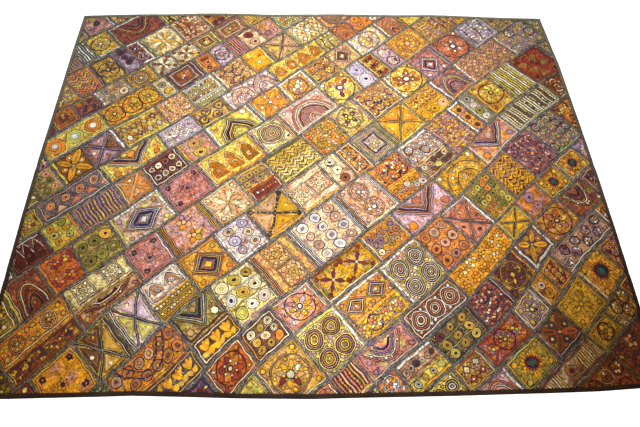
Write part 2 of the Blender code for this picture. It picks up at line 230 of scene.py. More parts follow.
# the patch chart, a row of the hanging in each line: depth, first cross seam, widths in mm, and then
# what is on each patch from the lower left: motif, main thread, second thread, and any of these:
# a side (L R T B) with a letter is a ribbon bar of that colour, and with a number so many stitched lines;
# 3x2 repeats the motif in 3 columns and 2 rows; dk is a dark ground. + stands beside, / stands below.
barColours = {"w": "white", "c": "cream", "l": "lime", "o": "orange", "m": "mauve", "g": "green",
              "y": "marigold", "r": "rust"}
chart = (
    (135, 0, (), "rings plum mauve + rings plum pink 1x3 + flowers tan gold"),
    (132, -906, (70, 98, 216),
     "stripes mauve tan, stripes grey white B2, bigflower lime mustard Bw Ro, crescent rust plum Lg Tw, "
     "stripes lime brown"),
    (145, -1004, (105, 105, 133, 146, 129, 88),
     "flowers gold orange, zigzag coral orange Ro, bigflower gold brown L1 R1 T1, "
     "rings plum lilac 1x4 + rosette orange plum Rw Tw Bw, star cream gold Lg, leaves rust cream, "
     "rings orange plum, flowers tan brown"),
    (94, -1150, (188, 140, 112, 98, 111, 105, 133),
     "flowers maroon rust, flowers maroon orange + sparse plum rust, discs grey mustard 2x2 Lw, "
     "target gold orange 1x1 Ry, star cream brown 1x1, star cream brown 1x1, frames gold rust Rl, "
     "frames coral olive, flowers gold tan"),
    (110, -1241, (251, 231, 63, 139, 217, 182, 174),
     "flowers rust pink, hexagons lime orange 3x1, bigflower marigold orange 3x1, rings grey cream 1x2, "
     "frames brown rust R2, sparse coral orange + bigflower lilac pink 1x1 + stripes mauve coral, "
     "rings peach cream 1x2 + rings coral pink 2x2, bands cream lime Lg, rings peach gold"),
    (123, -1332, (88, 122, 130, 181, 122, 144, 146, 101, 135, 158, 161),
     "flowers olive brown, rings olive peach 2x3, leafcross marigold orange dk Ll, xdark mauve brown Rw, "
     "ogee gold rust Tl Bl, flowers peach coral R1, bands lime white Rw, flowers peach gold Lc, "
     "triangles marigold red Rl, xdark peach gold L2, ogee cream gold Lg, target orange peach 1x1, "
     "flowers tan coral"),
    (95, -1444, (84, 245, 237, 147, 144, 233, 256, 177, 175),
     "flowers olive brown, flowers olive gold, garland peach cream dk 4x1, vee lime orange 1x1 Ll Rl, "
     "flowers lilac cream 3x2, flowers gold brown 2x2, ringarch peach lilac Lw, peaks lime orange 4x1, "
     "leaves gold lime + arch coral orange, rings orange rust 2x2, flowers gold tan"),
    (113, -1514, (126, 112, 161, 111, 147, 126, 202, 147, 135, 128, 121, 158, 108, 153),
     "flowers plum rust, peaks rust maroon dk 3x1, rings lime olive 2x3 Ro By, stripes tan mauve, "
     "xline orange tan, discs coral plum 4x2 dk, rings tan mauve 1x2 Ly Rm, roof lime gold Lw Rw, "
     "leafcross orange marigold L2, rosette orange gold Lw Tw Rw, flowers orange tan, "
     "diamond peach rust Rl, rosette lilac lime Lw, arch orange mauve Lc, triangles gold lime L2, "
     "flowers cream tan"),
    (136, -1576, (125, 115, 137, 199, 160, 230, 140, 216, 142, 237, 156, 168, 98),
     "flowers olive brown, arch rust maroon Ll L1 1x1, flowers red orange 2x2 Lo, rings olive tan 3x2 T1, "
     "diamond tan lilac Tw Rw Ll, sparse coral mauve, peaks lime orange 3x1, "
     "target lime white 1x1 Lm R2 Bl, arch coral white, bigflower lime orange Ry, "
     "rings lilac white 1x2 + sparse rust maroon + flowers lilac pink 1x2, rosette gold orange, "
     "leaves gold rust, flowers orange gold, rings white grey"),
    (140, -1667, (233, 217, 127, 173, 147, 125, 182, 140, 132, 165, 150, 132, 154, 151, 98),
     "flowers brown olive, rosette orange gold 2x1 / flowers rust plum, "
     "square cream lime 2x1 / crescent rust cream, sparse mauve coral, flowers mauve peach 1x2 L3 R3, "
     "star peach cream, rings gold tan 4x2 Ty / bands red rust, zigzag gold olive T2 Bl, "
     "flowers olive orange L2, rosette peach lime By Rm, flowers orange marigold, "
     "bigflower lime orange Lw, diamond mauve coral Tr R2, bigflower rust coral Lm, leaves lilac grey, "
     "flowers tan olive, flowers olive green"),
    (145, -1625, (146, 119, 116, 138, 148, 133, 154, 167, 161, 147, 146, 154, 147, 254, 182),
     "flowers plum rust, sparse marigold orange, xdark gold brown R2, xdark lilac lime L2, "
     "peaks white peach 2x1 / bands marigold gold, diamond orange gold To L1, "
     "discs lilac cream 2x3 Lw Bw, chaintie marigold peach By, square cream peach 2x1 By T1, "
     "rings peach cream 1x3 + bigflower orange coral, frames grey pink R2, xdark marigold orange Bl, "
     "zigzag marigold gold / rings marigold gold 3x1, arch mauve rust Bo Lw, diamond peach coral 4x3 Lw, "
     "flowers mauve grey Lc, flowers olive grey"),
    (178, -1468, (241, 151, 149, 158, 216, 161, 152, 161, 130, 136, 127, 131, 165),
     "flowers green brown, swag orange rust / tulips marigold navy dk 4x1, "
     "vee olive tan 1x1 L1 R1 B1 / tulips marigold navy dk 3x1, rings cream lime 3x3 Bm, "
     "square gold peach 1x2 L3 R1, discs peach cream 3x4 L3 R2, rosette peach pink 1x2 L2 R2 Bc, "
     "flowers orange coral Ly / rings orange marigold 5x2 Ty, "
     "flowers grey peach Tw / rings brown peach 5x2, leaves marigold rust Lm, "
     "sunflower orange mauve Lw Tw + rings olive grey 1x4, bigflower rust gold Ly By, "
     "stripes lime white Rw, sparse red maroon, flowers grey brown"),
    (116, -1241, (139, 130, 146, 223, 154, 216, 203, 217, 265),
     "flowers mauve navy, bigflower red orange 1x1, rings gold orange dk 3x3, bigflower coral lilac 1x1, "
     "star marigold maroon 2x1, rings orange marigold 5x3, vee lilac coral 1x1, ringarch marigold navy, "
     "vee orange peach 1x1, stripes cream brown, flowers rust brown"),
    (168, -1129, (156, 154, 192, 171, 137, 126, 136, 126, 145, 151),
     "triangles lime brown, rosette tan marigold 1x1, target lime mauve 2x2 Tl Rw, "
     "diamond marigold orange Tw 2x1 / flowers marigold gold, target lime lilac 2x2 Tw Lw, "
     "discs orange coral 3x3, xdark coral pink To Tw Rw, rings orange olive 4x5, zigzag marigold rust T2, "
     "flowers rust mauve, flowers mauve green Bg, flowers orange brown"),
    (99, -976, (95, 194, 217, 265, 242, 245),
     "flowers coral orange, stripes coral peach Bl, crescent coral mauve, target white coral 3x1 dk, "
     "flowers orange marigold 5x2, xdark marigold lime + rings orange rust 1x2, "
     "sunflower rust gold + sunflower rust gold, flowers lilac plum"),
    (111, -885, (77, 144, 173, 127, 136, 130, 145, 144),
     "flowers brown orange, flowers orange coral, rings peach brown 6x1 Tw / rings gold lime 4x1 By, "
     "rings gold tan dk 3x3 R2, flowers coral rust R2, rosette plum brown Ro, "
     "leafcross marigold orange dk Lw Bw Rw, bigflower rust gold, crescent rust plum, flowers rust plum"),
    (92, -787, (216, 171, 106, 142, 259),
     "flowers olive lime, target lime gold By 2x1 + ogee gold red, bigflower red orange 1x1, "
     "rosette lilac gold, rings marigold orange 1x2 + leaves orange marigold, flowers tan mauve 4x2, "
     "flowers orange plum"),
    (109, -682, (132, 143, 127, 142, 133),
     "flowers olive brown, arch coral lilac Rw, sunflower olive gold, leafcross rust brown Lm B2, "
     "star gold mustard, sunflower orange gold Lc, flowers orange mauve"),
    (77, -536, (252, 216),
     "flowers brown olive, barring maroon cream, flowers gold olive 1x1 + flowers olive gold, "
     "flowers rust brown"),
    (168, 0, (), "flowers rust brown + flowers brown rust"),
)
# mm: where the first row starts, how far a row runs past the cloth before it is trimmed at the edge, the
# share of a split patch's upper part, and the middle and half width of the patch across each corner
layout = {"firstRow": 640.0, "farEnd": 2300.0, "upperShare": 0.56, "topCorner": -745.0,
          "bottomCorner": -270.0, "cornerHalf": 185}


def makePatches():
    # splits each row at its cross seams, and then each patch at the + and / of its words
    patches, rowSeams, crossSeams = [], [], []
    top = layout["firstRow"]
    for depth, start, widths, words in chart:
        bottom = top - depth
        seams = start + np.cumsum((0,) + widths) if widths else np.zeros(0)
        ends = np.concatenate([[-layout["farEnd"]], seams, [layout["farEnd"]]])
        if not widths:
            corner = layout["topCorner"] if top > 0 else layout["bottomCorner"]
            ends = np.array([corner - layout["cornerHalf"], corner + layout["cornerHalf"]])
        rowSeams.append(bottom)
        crossSeams += [(u, bottom, top) for u in seams]
        for left, right, text in zip(ends[:-1], ends[1:], [t.strip() for t in words.split(",")]):
            levels = text.split(" / ")
            share = np.linspace(0, 1, len(levels) + 1)
            if len(levels) > 1:
                share[1] = layout["upperShare"]
            for k, part in enumerate(levels):
                columns = part.split(" + ")
                high, low = top - depth * share[k], top - depth * share[k + 1]
                if k:   # its braid follows the left seam, from the split to v = right
                    crossSeams.append((left, high, right))
                cuts = np.linspace(left, right, len(columns) + 1)
                for j, column in enumerate(columns):
                    motif, main, second, *rest = column.split()
                    grids = [tuple(map(int, word.split("x"))) for word in rest if word[0].isdigit()]
                    if j:
                        crossSeams.append((cuts[j], low, high))
                    patches.append(SimpleNamespace(
                        u0=cuts[j], u1=cuts[j + 1], v0=low, v1=high, motif=motif, main=main, second=second,
                        bars=[word for word in rest if word[0] in "LRTB"],
                        grid=grids[0] if grids else None, dim="dk" in rest))
        top = bottom
    return patches, rowSeams[:-1], crossSeams


def changed(p, **values):  # a copy of a patch or cell with some of its fields changed
    return SimpleNamespace(**{**vars(p), **values})


# what is stitched on a patch
needle = {
    "padLift": 1.2,      # mm, a patch's edge over the back
    "padCrown": 0.9,     # mm, how far its middle stands over its edge
    "padRound": 9.0,     # mm, the width over which it rounds off
    "padStep": 11.0,     # mm, spacing of the pad's points
    "threadRise": 0.9,   # mm, a line of stitching over the patch
    "wobble": 1.5,       # mm, how unsteady the hand is
    "borders": 0.75,     # share of the patches without bars that have a stitched border
    "seedsPer": 0.006,   # seed stitches for each square mm
    "sliver": 0.12,      # square mm, smaller faces are left out where a shape is trimmed
    "trisInPiece": 150000,   # a new piece of embroidery starts past this many triangles
}


def surfaceLift(p, u, v, x, z):
    # the pad's height: lift plus crown times a smooth step of the distance to its nearest side
    d = np.minimum(np.minimum(u - p.u0, p.u1 - u), np.minimum(v - p.v0, p.v1 - v))
    t = np.clip(np.minimum(d, edgeRoom(x, z)) / needle["padRound"], 0, 1)
    puff = 0.25 * np.sin(u / 9.0 + p.phase) * np.sin(v / 11.0 - p.phase)
    return needle["padLift"] + (needle["padCrown"] + puff) * t * t * (3 - 2 * t)


def trim(p, u, v, gap):
    # pulls points back to the patch's sides and to the cloth's edge, by repeated nearest steps
    for _ in range(5):
        u, v = np.clip(u, p.u0 + gap, p.u1 - gap), np.clip(v, p.v0 + gap, p.v1 - gap)
        x, z = toWorld(u, v)
        inset = (cloth["bindingFace"] - 1.5) * mm
        cx = np.clip(x, leftX(z) + inset, rightX(z) - inset)
        cz = np.clip(z, bottomZ(cx) + inset, topZ(cx) - inset)
        dx, dz = (cx - x) / mm, (cz - z) / mm
        u, v = u + dx * cosSlant + dz * sinSlant, v - dx * sinSlant + dz * cosSlant
    return u, v


def wobble(p, u, v):  # the unsteady hand: two sines of the place, 60 and 25 mm long
    a = p.phase * 5
    du = np.sin(v / 9.5 + a + np.sin(u / 17)) + 0.45 * np.sin(u / 4.1 + v / 5.3 + 2 * a)
    dv = np.sin(u / 10.5 - a + np.sin(v / 19)) + 0.45 * np.sin(v / 4.3 - u / 5.1 + a)
    return u + needle["wobble"] * du, v + needle["wobble"] * dv


def sew(p, u, v, rise, faces, thread, along, across, gap=2.0, tray=None):
    # lays points of a patch on its pad: Y is the drape less the pad's height and the rise
    u, v = wobble(p, u.ravel(), v.ravel()) if gap else (u.ravel(), v.ravel())
    u, v = trim(p, u, v, gap)
    k = faces.shape[1]
    area = sum(u[faces[:, i]] * v[faces[:, (i + 1) % k]] - u[faces[:, (i + 1) % k]] * v[faces[:, i]]
               for i in range(k)) / 2
    faces = np.where((area > 0)[:, None], faces, faces[:, ::-1])[np.abs(area) > needle["sliver"]]
    x, z = toWorld(u, v)
    y = drapeY(x, z) - (surfaceLift(p, u, v, x, z) + rise.ravel()) * mm
    lay(tray or p.tray, np.c_[x, y, z], faces, thread,
        np.c_[along.ravel(), across.ravel(), np.full(len(u), p.phase)])


def dye(colour, n, spread=0.2):
    # n shades of a thread, or of several by chance: the colour times a random brightness and warmth
    colours = colour if isinstance(colour, tuple) else (colour,)
    known = np.array([tones[c] if isinstance(c, str) else c for c in colours])
    base = known[dice.integers(0, len(colours), n)]
    light = 1 + spread * dice.uniform(-1, 1, (n, 1))
    warm = 1 + 0.5 * spread * dice.uniform(-1, 1, (n, 1)) * np.array([[1, 0, -1]])
    return np.clip(base * light * warm, 0.002, 0.95)


def line(p, paths, width, colour, rise=1.0, spread=0.2, edge=0.0):
    # stitched lines: each path carries an arched section, 1 - s^2 high across the line
    k, n = paths.shape[:2]
    tangent = np.gradient(paths, axis=1)
    tangent /= np.maximum(np.linalg.norm(tangent, axis=2, keepdims=True), 1e-6)
    normal = np.stack([-tangent[..., 1], tangent[..., 0]], axis=2)[:, :, None, :]
    s = np.array([-1, 0, 1.0])
    pts = paths[:, :, None, :] + normal * (s * width / 2)[None, None, :, None]
    step = np.linalg.norm(np.diff(paths, axis=1), axis=2)
    run = np.concatenate([np.zeros((k, 1)), np.cumsum(step, axis=1)], axis=1)
    height = np.broadcast_to(needle["threadRise"] * rise * (1 - s * s) - 0.15, pts.shape[:3])
    faces = repeated(gridFaces(n, 3)[:, [0, 3, 2, 1]], k, n * 3)
    sew(p, pts[..., 0], pts[..., 1], height, faces, np.repeat(dye(colour, k, spread), n * 3, axis=0),
        np.repeat(run.ravel(), 3), np.tile(s * width / 2, k * n))
    if edge:   # a flat dark line under it, wider on both sides
        side = np.array([-1, 1.0])
        pts = paths[:, :, None, :] + normal * (side * (width / 2 + edge * 1.5))[None, None, :, None]
        faces = repeated(gridFaces(n, 2)[:, [0, 3, 2, 1]], k, n * 2)
        height = np.full(pts.shape[:3], 0.18 + 0.6 * max(rise - 1, 0))
        sew(p, pts[..., 0], pts[..., 1], height, faces, np.repeat(dye(p.dark, k, spread), n * 2, axis=0),
            np.repeat(run.ravel(), 2), np.tile(side, k * n))


def fill(p, centres, shapes, colour, rise=1.0, spread=0.26, rim=2.5):
    # filled shapes: a fan from a raised middle to each outline, over a dark fan that is wider by the rim
    centres = np.atleast_2d(centres)
    inside = edgeRoom(*toWorld(centres[:, 0], centres[:, 1])) > 1
    shapes = np.broadcast_to(shapes, (len(centres),) + shapes.shape[-2:])[inside]
    shapes = shapes * dice.uniform(0.86, 1.12, (len(shapes), 1, 1))
    centres = centres[inside]
    k, n = shapes.shape[:2]
    if not k:
        return
    fan = np.stack([np.zeros(n, int), 1 + np.arange(n), 1 + (1 + np.arange(n)) % n], axis=1)
    faces = repeated(fan, k, n + 1)
    reach = np.linalg.norm(shapes, axis=2, keepdims=True).mean(axis=1, keepdims=True)
    base = 0.2 + 0.72 * max(rise - 1, 0)
    shade = np.tile(np.r_[1.18, np.full(n, 0.86)], k)[:, None]   # painted highlight on the raised middle, painted shade at the outline
    for wider, tone in ((rim, p.dark), (0.0, colour)):
        if rim or not wider:
            local = np.concatenate([np.zeros((k, 1, 2)), shapes * (1 + wider / reach)], axis=1)
            height = np.full((k, n + 1), base + (0.0 if wider else 0.13))
            height[:, 0] = base + (0.05 if wider else 0.5)
            pts = centres[:, None, :] + local
            thread = np.repeat(dye(tone, k, spread), n + 1, axis=0) * shade
            sew(p, pts[..., 0], pts[..., 1], height, faces, thread, local[..., 0], local[..., 1])


def around(n, turn=0.0):  # n unit vectors evenly round a circle
    a = turn + np.arange(n) * 2 * math.pi / n
    return np.c_[np.cos(a), np.sin(a)]


def rounds(centres, radius, n=14):  # closed circles round the centres
    return np.atleast_2d(centres)[:, None, :] + radius * around(n)[np.r_[0:n, 0]][None]


def ovals(length, width, turns, n=7):  # ovals, sharper at the outer tip, turned by each angle
    a = np.arange(n) * 2 * math.pi / n
    x, y = length / 2 * np.cos(a), width / 2 * np.sin(a) * (1 - 0.25 * np.cos(a))
    c, s = np.cos(np.atleast_1d(turns))[:, None], np.sin(np.atleast_1d(turns))[:, None]
    return np.stack([x * c - y * s, x * s + y * c], axis=2)


def polygon(radius, n, turn=0.0):  # the outline of a regular shape with n corners
    return (radius * around(n, turn))[None]


def spots(p, pitch, stagger=True, wander=0.0):  # a grid of places that fits the patch, odd rows shifted
    nu, nv = p.grid or (max(1, round(2 * p.hu / pitch)), max(1, round(2 * p.hv / pitch)))
    i, j = np.meshgrid(np.arange(nu), np.arange(nv), indexing="ij")
    u = p.cu + p.hu * ((2 * i + 1) / nu - 1)
    v = p.cv + p.hv * ((2 * j + 1) / nv - 1)
    if stagger and nu > 1:
        u = u + 0.5 * p.hu / nu * np.where(j % 2, 1, -1)
    return np.c_[u.ravel(), v.ravel()] + dice.normal(0, wander + 0.01, (nu * nv, 2))


def level(p, height, n=30, wave=None):  # lines along the patch at each height, with an optional wave
    t = np.linspace(-1, 1, n) * p.hu
    heights = np.atleast_1d(height)
    v = heights[:, None] + (wave(t) if wave is not None else 0 * t)
    return np.stack([np.broadcast_to(p.cu + t, v.shape), p.cv + v], axis=2)


def upright(p, place, n=14, wave=None):  # lines across the patch at each place
    t = np.linspace(-1, 1, n) * p.hv
    places = np.atleast_1d(place)
    u = places[:, None] + (wave(t) if wave is not None else 0 * t)
    return np.stack([p.cu + u, np.broadcast_to(p.cv + t, u.shape)], axis=2)


def steps(half, gap):  # evenly spaced numbers that fill -half to half
    n = max(1, round(2 * half / gap))
    return half * ((2 * np.arange(n) + 1) / n - 1)


def saw(t, period, height):  # straight ups and downs
    return height * (2 * np.abs((t / period) % 1 - 0.5) * 2 - 1)


def bloom(p, centres, size, petals, main, heart, rim=None, rise=1.0):
    # petals are ovals set round each centre, with a round heart over them
    turn = dice.uniform(0, 2)
    out = around(petals, turn)
    places = (centres[:, None, :] + out[None] * size * 0.62).reshape(-1, 2)
    turns = turn + np.arange(petals) * 2 * math.pi / petals
    shapes = ovals(size * 0.72, size * min(0.66, 3.1 / petals), turns)
    fill(p, places, np.tile(shapes, (len(centres), 1, 1)), main, rise)
    fill(p, centres, polygon(size * 0.27, 7), heart, rise * 1.4)
    if rim is not None:
        line(p, rounds(centres, size * 1.16, max(12, int(size * 0.8))), 1.9, rim, edge=1.0)


def seeds(p, count, colours, length=4.5):  # single stitches strewn over the patch
    for colour in colours:
        k = max(1, int(count / len(colours)))
        c = np.c_[p.cu + p.hu * dice.uniform(-1, 1, k), p.cv + p.hv * dice.uniform(-1, 1, k)]
        a = dice.uniform(0, math.pi, k)
        d = np.c_[np.cos(a), np.sin(a)] * length / 2
        line(p, np.stack([c - d, c + d], axis=1), 1.9, colour, 0.7, 0.3)


def corners(p, inset):  # the four corner places of the patch
    signs = np.array([[-1, -1], [-1, 1], [1, -1], [1, 1]])
    return [p.cu, p.cv] + signs * [p.hu - inset, p.hv - inset]


def middle(p):  # the one middle place of the patch or cell
    return np.array([[p.cu, p.cv]])


def route(points, n):  # a path through the points, with n points on each straight stretch
    points = np.array(points, float)
    stretches = [np.linspace(a, b, n)[:-1] for a, b in zip(points[:-1], points[1:])]
    return np.concatenate(stretches + [points[-1:]])


def meshes(p, pitch):  # half the size of the patch's meshes in u and v, as near half the pitch as will fit
    nu, nv = p.grid or (max(1, round(2 * p.hu / pitch)), max(1, round(2 * p.hv / pitch)))
    return nu, nv, p.hu / nu, p.hv / nv


def flowers(p):  # flowers in shifted rows, with a leaf beside each
    size = dice.uniform(14, 22)
    c = spots(p, size * 2.2, True, 1.2)
    if p.grid:
        size = 0.92 * min(p.hu / p.grid[0], p.hv / p.grid[1])
    bloom(p, c, size, int(dice.integers(5, 9)), p.mixed, p.second,
          (p.light, p.second, p.dark) if dice.random() < 0.6 else None)
    gaps = c + [size * 1.12, size * 0.2]
    fill(p, gaps, ovals(size * 0.7, size * 0.36, dice.uniform(0, 3, len(c))), p.mixed, 0.9)


def rings(p):  # a bright ring with a dark line and a dark heart in each mesh, light lines between rows
    nu, nv, a, b = meshes(p, 32)
    c = spots(changed(p, grid=(nu, nv)), 32, False)
    r = min(a, b) * 0.98
    fill(p, c, polygon(r * 0.86, 12), (p.light, p.main, p.second, p.other, p.main), 0.9)
    line(p, rounds(c, r * 0.56, 12), 2.4, p.dark, 1.5)
    fill(p, c, polygon(r * 0.26, 7), (p.dark, "brown", p.dark, p.second), 1.7, rim=1.2)
    if nv > 1 and nu > 2:
        for v in np.arange(1, nv) * 2 * p.hv / nv - p.hv:
            line(p, level(p, v, 24), 2.6, (p.light, p.second), 1.6, edge=1.0)


def discs(p):  # a pale disc with a dark round line and a coloured heart in each mesh
    a, b = meshes(p, 36)[2:]
    c = spots(p, 36, False)
    r = min(a, b) * 0.92
    fill(p, c, polygon(r * 0.86, 14), (p.light, p.main), 0.9, rim=3.0)
    line(p, rounds(c, r * 0.56, 13), 2.4, p.dark, 1.4)
    fill(p, c, polygon(r * 0.27, 8), (p.second, p.other), 1.7)


def frameOf(p, inset, n=7):  # a closed path round the cell, inset from its sides
    box = np.array([[-1, -1], [1, -1], [1, 1], [-1, 1], [-1, -1]]) * [p.hu - inset, p.hv - inset]
    return (middle(p) + route(box, n))[None]


def nest(p, path, scales, base, width=3.6):
    # the same path again and again, smaller each time towards its base point, in colours by turns
    threads = (p.main, p.light, p.second, p.dark, p.main, p.other)
    for k, scale in enumerate(scales):
        line(p, (base + (path - base) * scale)[None], width, threads[k % 6], 1.25, edge=1.1)


def rosette(p):  # one flower in a round line, with dots between its petals, round it and in the corners
    size = min(p.hu, p.hv)
    c = middle(p)
    line(p, rounds(c, size * 0.93, 26), 3.0, (p.light, p.main), 1.2, edge=1.3)
    bloom(p, c, size * 0.7, 8, p.mixed, p.light)
    fill(p, c + size * 0.3 * around(8, 0.39), polygon(size * 0.07, 5), p.second, 1.7)
    fill(p, c + size * 0.73 * around(8, 0.39), polygon(size * 0.09, 5), p.second, 1.1)
    fill(p, corners(p, 9), polygon(7, 6), p.second, 1.1)


def square(p):  # a square frame round a flower and eight lozenges
    a = min(p.hu, p.hv)
    line(p, frameOf(changed(p, hu=a, hv=a), 3), 3.2, (p.light, p.main), 1.2, edge=1.4)
    dots = middle(p) + 0.56 * a * np.array([(i, j) for i in (-1, 0, 1) for j in (-1, 0, 1) if i or j])
    fill(p, dots, polygon(a * 0.17, 4), p.light, 1.2)
    bloom(p, middle(p), a * 0.44, 8, p.main, p.second)


def bigflower(p):  # one large flower that fills the cell, with small ones at its sides where there is room
    size = min(p.hu, p.hv) * 0.92
    c = middle(p)
    petals = int(dice.integers(6, 9))
    bloom(p, c, size, petals, (p.main, p.second, p.other), p.dark, p.dark)
    fill(p, c + around(petals) * size * 0.5, polygon(size * 0.09, 6), p.light, 1.9)
    fill(p, c, polygon(size * 0.17, 8), p.light, 2.1)
    line(p, rounds(c, size * 0.31, 14), 2.4, p.second, 1.9)
    fill(p, corners(p, 10), ovals(17, 9, np.array([0.8, -0.8, 2.4, -2.4])), p.mixed, 1.1)
    if p.hu > 1.3 * p.hv:
        side = p.hu - (p.hu - p.hv) / 2
        bloom(p, c + [[-side, 0], [side, 0]], (p.hu - p.hv) * 0.48, 5, p.mixed, p.light)


def star(p):  # a star of lozenges, one to each point, in two colours by turns
    size = min(p.hu, p.hv) * 0.95
    c = middle(p)
    shape = np.array([[0.5, 0], [0, 0.17], [-0.5, 0], [0, -0.17]]) * size
    for k, colour in ((0, p.main), (1, p.second)):
        a = (np.arange(8) * math.pi / 4)[k::2]
        co, si = np.cos(a)[:, None], np.sin(a)[:, None]
        along, across = shape.T
        turned = np.stack([along * co - across * si, along * si + across * co], axis=2)
        fill(p, c + around(8)[k::2] * size * 0.52, turned, colour, 1.2)
    fill(p, c, polygon(size * 0.13, 6), p.light, 1.7)
    rays = c + around(8, math.pi / 8)[:, None] * size * np.array([0.3, 0.95])[None, :, None]
    line(p, rays, 2.2, p.light, 1.0, edge=1.0)
    fill(p, corners(p, 9), polygon(7, 6), p.second)


def sunflower(p):  # rings of petals, bright outside and dark round a green heart
    size = min(p.hu, p.hv) * 0.97
    c = middle(p)
    petalRings = ((20, 0.88, 0.0, (p.main, "marigold")), (18, 0.7, 0.2, ("orange", "marigold")),
                  (16, 0.56, 0.1, "rust"), (14, 0.44, 0.3, "navy"), (11, 0.3, 0.0, ("navy", "maroon")))
    for count, place, turn, tone in petalRings:
        petals = ovals(size * 0.3, size * 0.2, turn + np.arange(count) * 2 * math.pi / count)
        fill(p, c + size * place * around(count, turn), petals, tone, 1.5 - 0.4 * place, rim=1.0)
    fill(p, c, polygon(size * 0.22, 14), "teal", 1.8, rim=2)
    line(p, rounds(c, size * 0.13, 14), 2.2, "navy", 2.4)
    fill(p, corners(p, 9), polygon(8, 6), ("marigold", p.second))


def leaves(p):  # wavy upright stems with a leaf on both sides at every step
    for k, u in enumerate(steps(p.hu, 27)):
        stem = upright(p, u, 16, lambda t: 3.2 * np.sin(t / 13 + k))
        line(p, stem, 2.6, (p.light, p.dark), 1.1, edge=1.1)
        at = steps(p.hv, 15)
        for side in (-1, 1):
            c = np.c_[p.cu + u + side * 8.0 + 3.2 * np.sin(at / 13 + k), p.cv + at + 3]
            fill(p, c, ovals(16, 8, np.full(len(at), math.pi / 2 - side * 0.9)), p.mixed, 1.1)


def leafcross(p):  # four leaves from the middle to the corners, each with a heart and a dark rib
    c, half = middle(p), np.array([p.hu, p.hv])
    a = math.atan2(p.hv, p.hu)
    turns = np.array([a, math.pi - a, math.pi + a, -a])
    out = np.c_[np.cos(turns), np.sin(turns)]
    reach = math.hypot(*half)
    fill(p, c + out * reach * 0.5, ovals(reach * 0.86, min(half) * 0.5, turns, 9), p.main, 1.2, rim=2.6)
    fill(p, c + out * reach * 0.54, ovals(reach * 0.46, min(half) * 0.2, turns), p.second, 1.9, rim=1.0)
    line(p, np.stack([c + out * reach * 0.2, c + out * reach * 0.8], axis=1), 1.8, p.dark, 2.6)
    side = np.array([[1, 0], [-1, 0], [0, 1], [0, -1]]) * half * 0.7
    fill(p, c + side, polygon(min(half) * 0.27, 6), (p.main, p.second), 1.2, rim=2.4)
    fill(p, c + side, polygon(min(half) * 0.1, 6), p.light, 1.8)
    fill(p, c, polygon(min(half) * 0.13, 8), p.light, 2.0)


def tulips(p):  # one three-petalled cup on a short stem
    w, h, c = p.hu, p.hv, middle(p)
    for lean, tone in ((-0.62, p.main), (0.62, p.main), (0.0, "orange")):
        at = c + [w * 0.52 * math.sin(lean), h * (0.3 + 0.08 * (lean == 0))]
        fill(p, at, ovals(h * 1.4, w * 0.82, np.full(1, math.pi / 2 - lean), 9), tone, 1.2, rim=2.0)
    for side in (-1, 1):
        leaf = ovals(w * 1.3, h * 0.72, np.full(1, side * 0.7 + (side < 0) * math.pi))
        fill(p, c + [side * w * 0.56, -h * 0.55], leaf, (p.main, "gold"), 1.2, rim=2.2)
    line(p, np.stack([c + [0, -h * 0.2], c + [0, -h * 0.95]], axis=1), 3.4, "orange", 1.2)


def triangles(p):  # one tall triangle with a light dot, on a line
    w, h, c = p.hu, p.hv, middle(p)
    outline = np.array([[[-0.8 * w, -0.6 * h], [0, 0.95 * h], [0.8 * w, -0.6 * h]]])
    fill(p, c - [0, h * 0.2], outline, p.main, 1.1, rim=2.0)
    fill(p, c - [0, h * 0.35], polygon(min(w, h) * 0.2, 6), p.light, 1.8)
    line(p, level(p, -h * 0.96, 8), 2.2, p.second, 1.1)


def diamond(p):  # nested lozenges
    w, h = p.hu, p.hv
    path = middle(p) + route([[w, 0], [0, h], [-w, 0], [0, -h], [w, 0]], 6)
    nest(p, path, np.arange(0.94, 0.3, -8.5 / min(w, h)), middle(p))
    fill(p, middle(p), polygon(min(w, h) * 0.2, 4), p.light, 1.6)
    fill(p, corners(p, min(w, h) * 0.24), polygon(min(w, h) * 0.15, 5), p.mixed, 1.1)


def garland(p):  # a round flower high in the cell, and a three-cornered field low on both sides of it
    w, h, c = p.hu, p.hv, middle(p)
    r = min(w, h)
    at = c + [0, h * 0.3]
    fill(p, at, polygon(r * 0.6, 14), (p.second, "peach"), 1.2)
    fill(p, at, polygon(r * 0.4, 10), ("orange", "coral"), 1.8, rim=1.2)
    fill(p, at, polygon(r * 0.17, 7), "brown", 2.3, rim=0)
    field = np.array([[-0.62 * w, 0.3 * h], [0.0, -0.38 * h], [0.62 * w, 0.3 * h]]) * [1, -1]
    fill(p, c + [[w, -h * 0.5], [-w, -h * 0.5]], field[None], (p.main, "coral", "peach"), 1.1)


def vee(p):  # nested vees that open upwards, with a long drop in the innermost
    w, h = p.hu, p.hv
    base = np.array([p.cu, p.cv + h])
    path = base + route([[-w, 0], [0, -2 * h], [w, 0]], 12)
    nest(p, path, np.arange(0.98, 0.42, -8.0 / min(w, 2 * h)), base, 4.2)
    fill(p, base - [0, h * 0.4], ovals(h * 0.6, w * 0.32, np.full(1, -math.pi / 2)), p.second, 1.3)
    low = middle(p) + [[-w * 0.8, -h * 0.6], [w * 0.8, -h * 0.6]]
    fill(p, low, polygon(min(w * 0.17, h * 0.3), 6), p.mixed, 1.2)


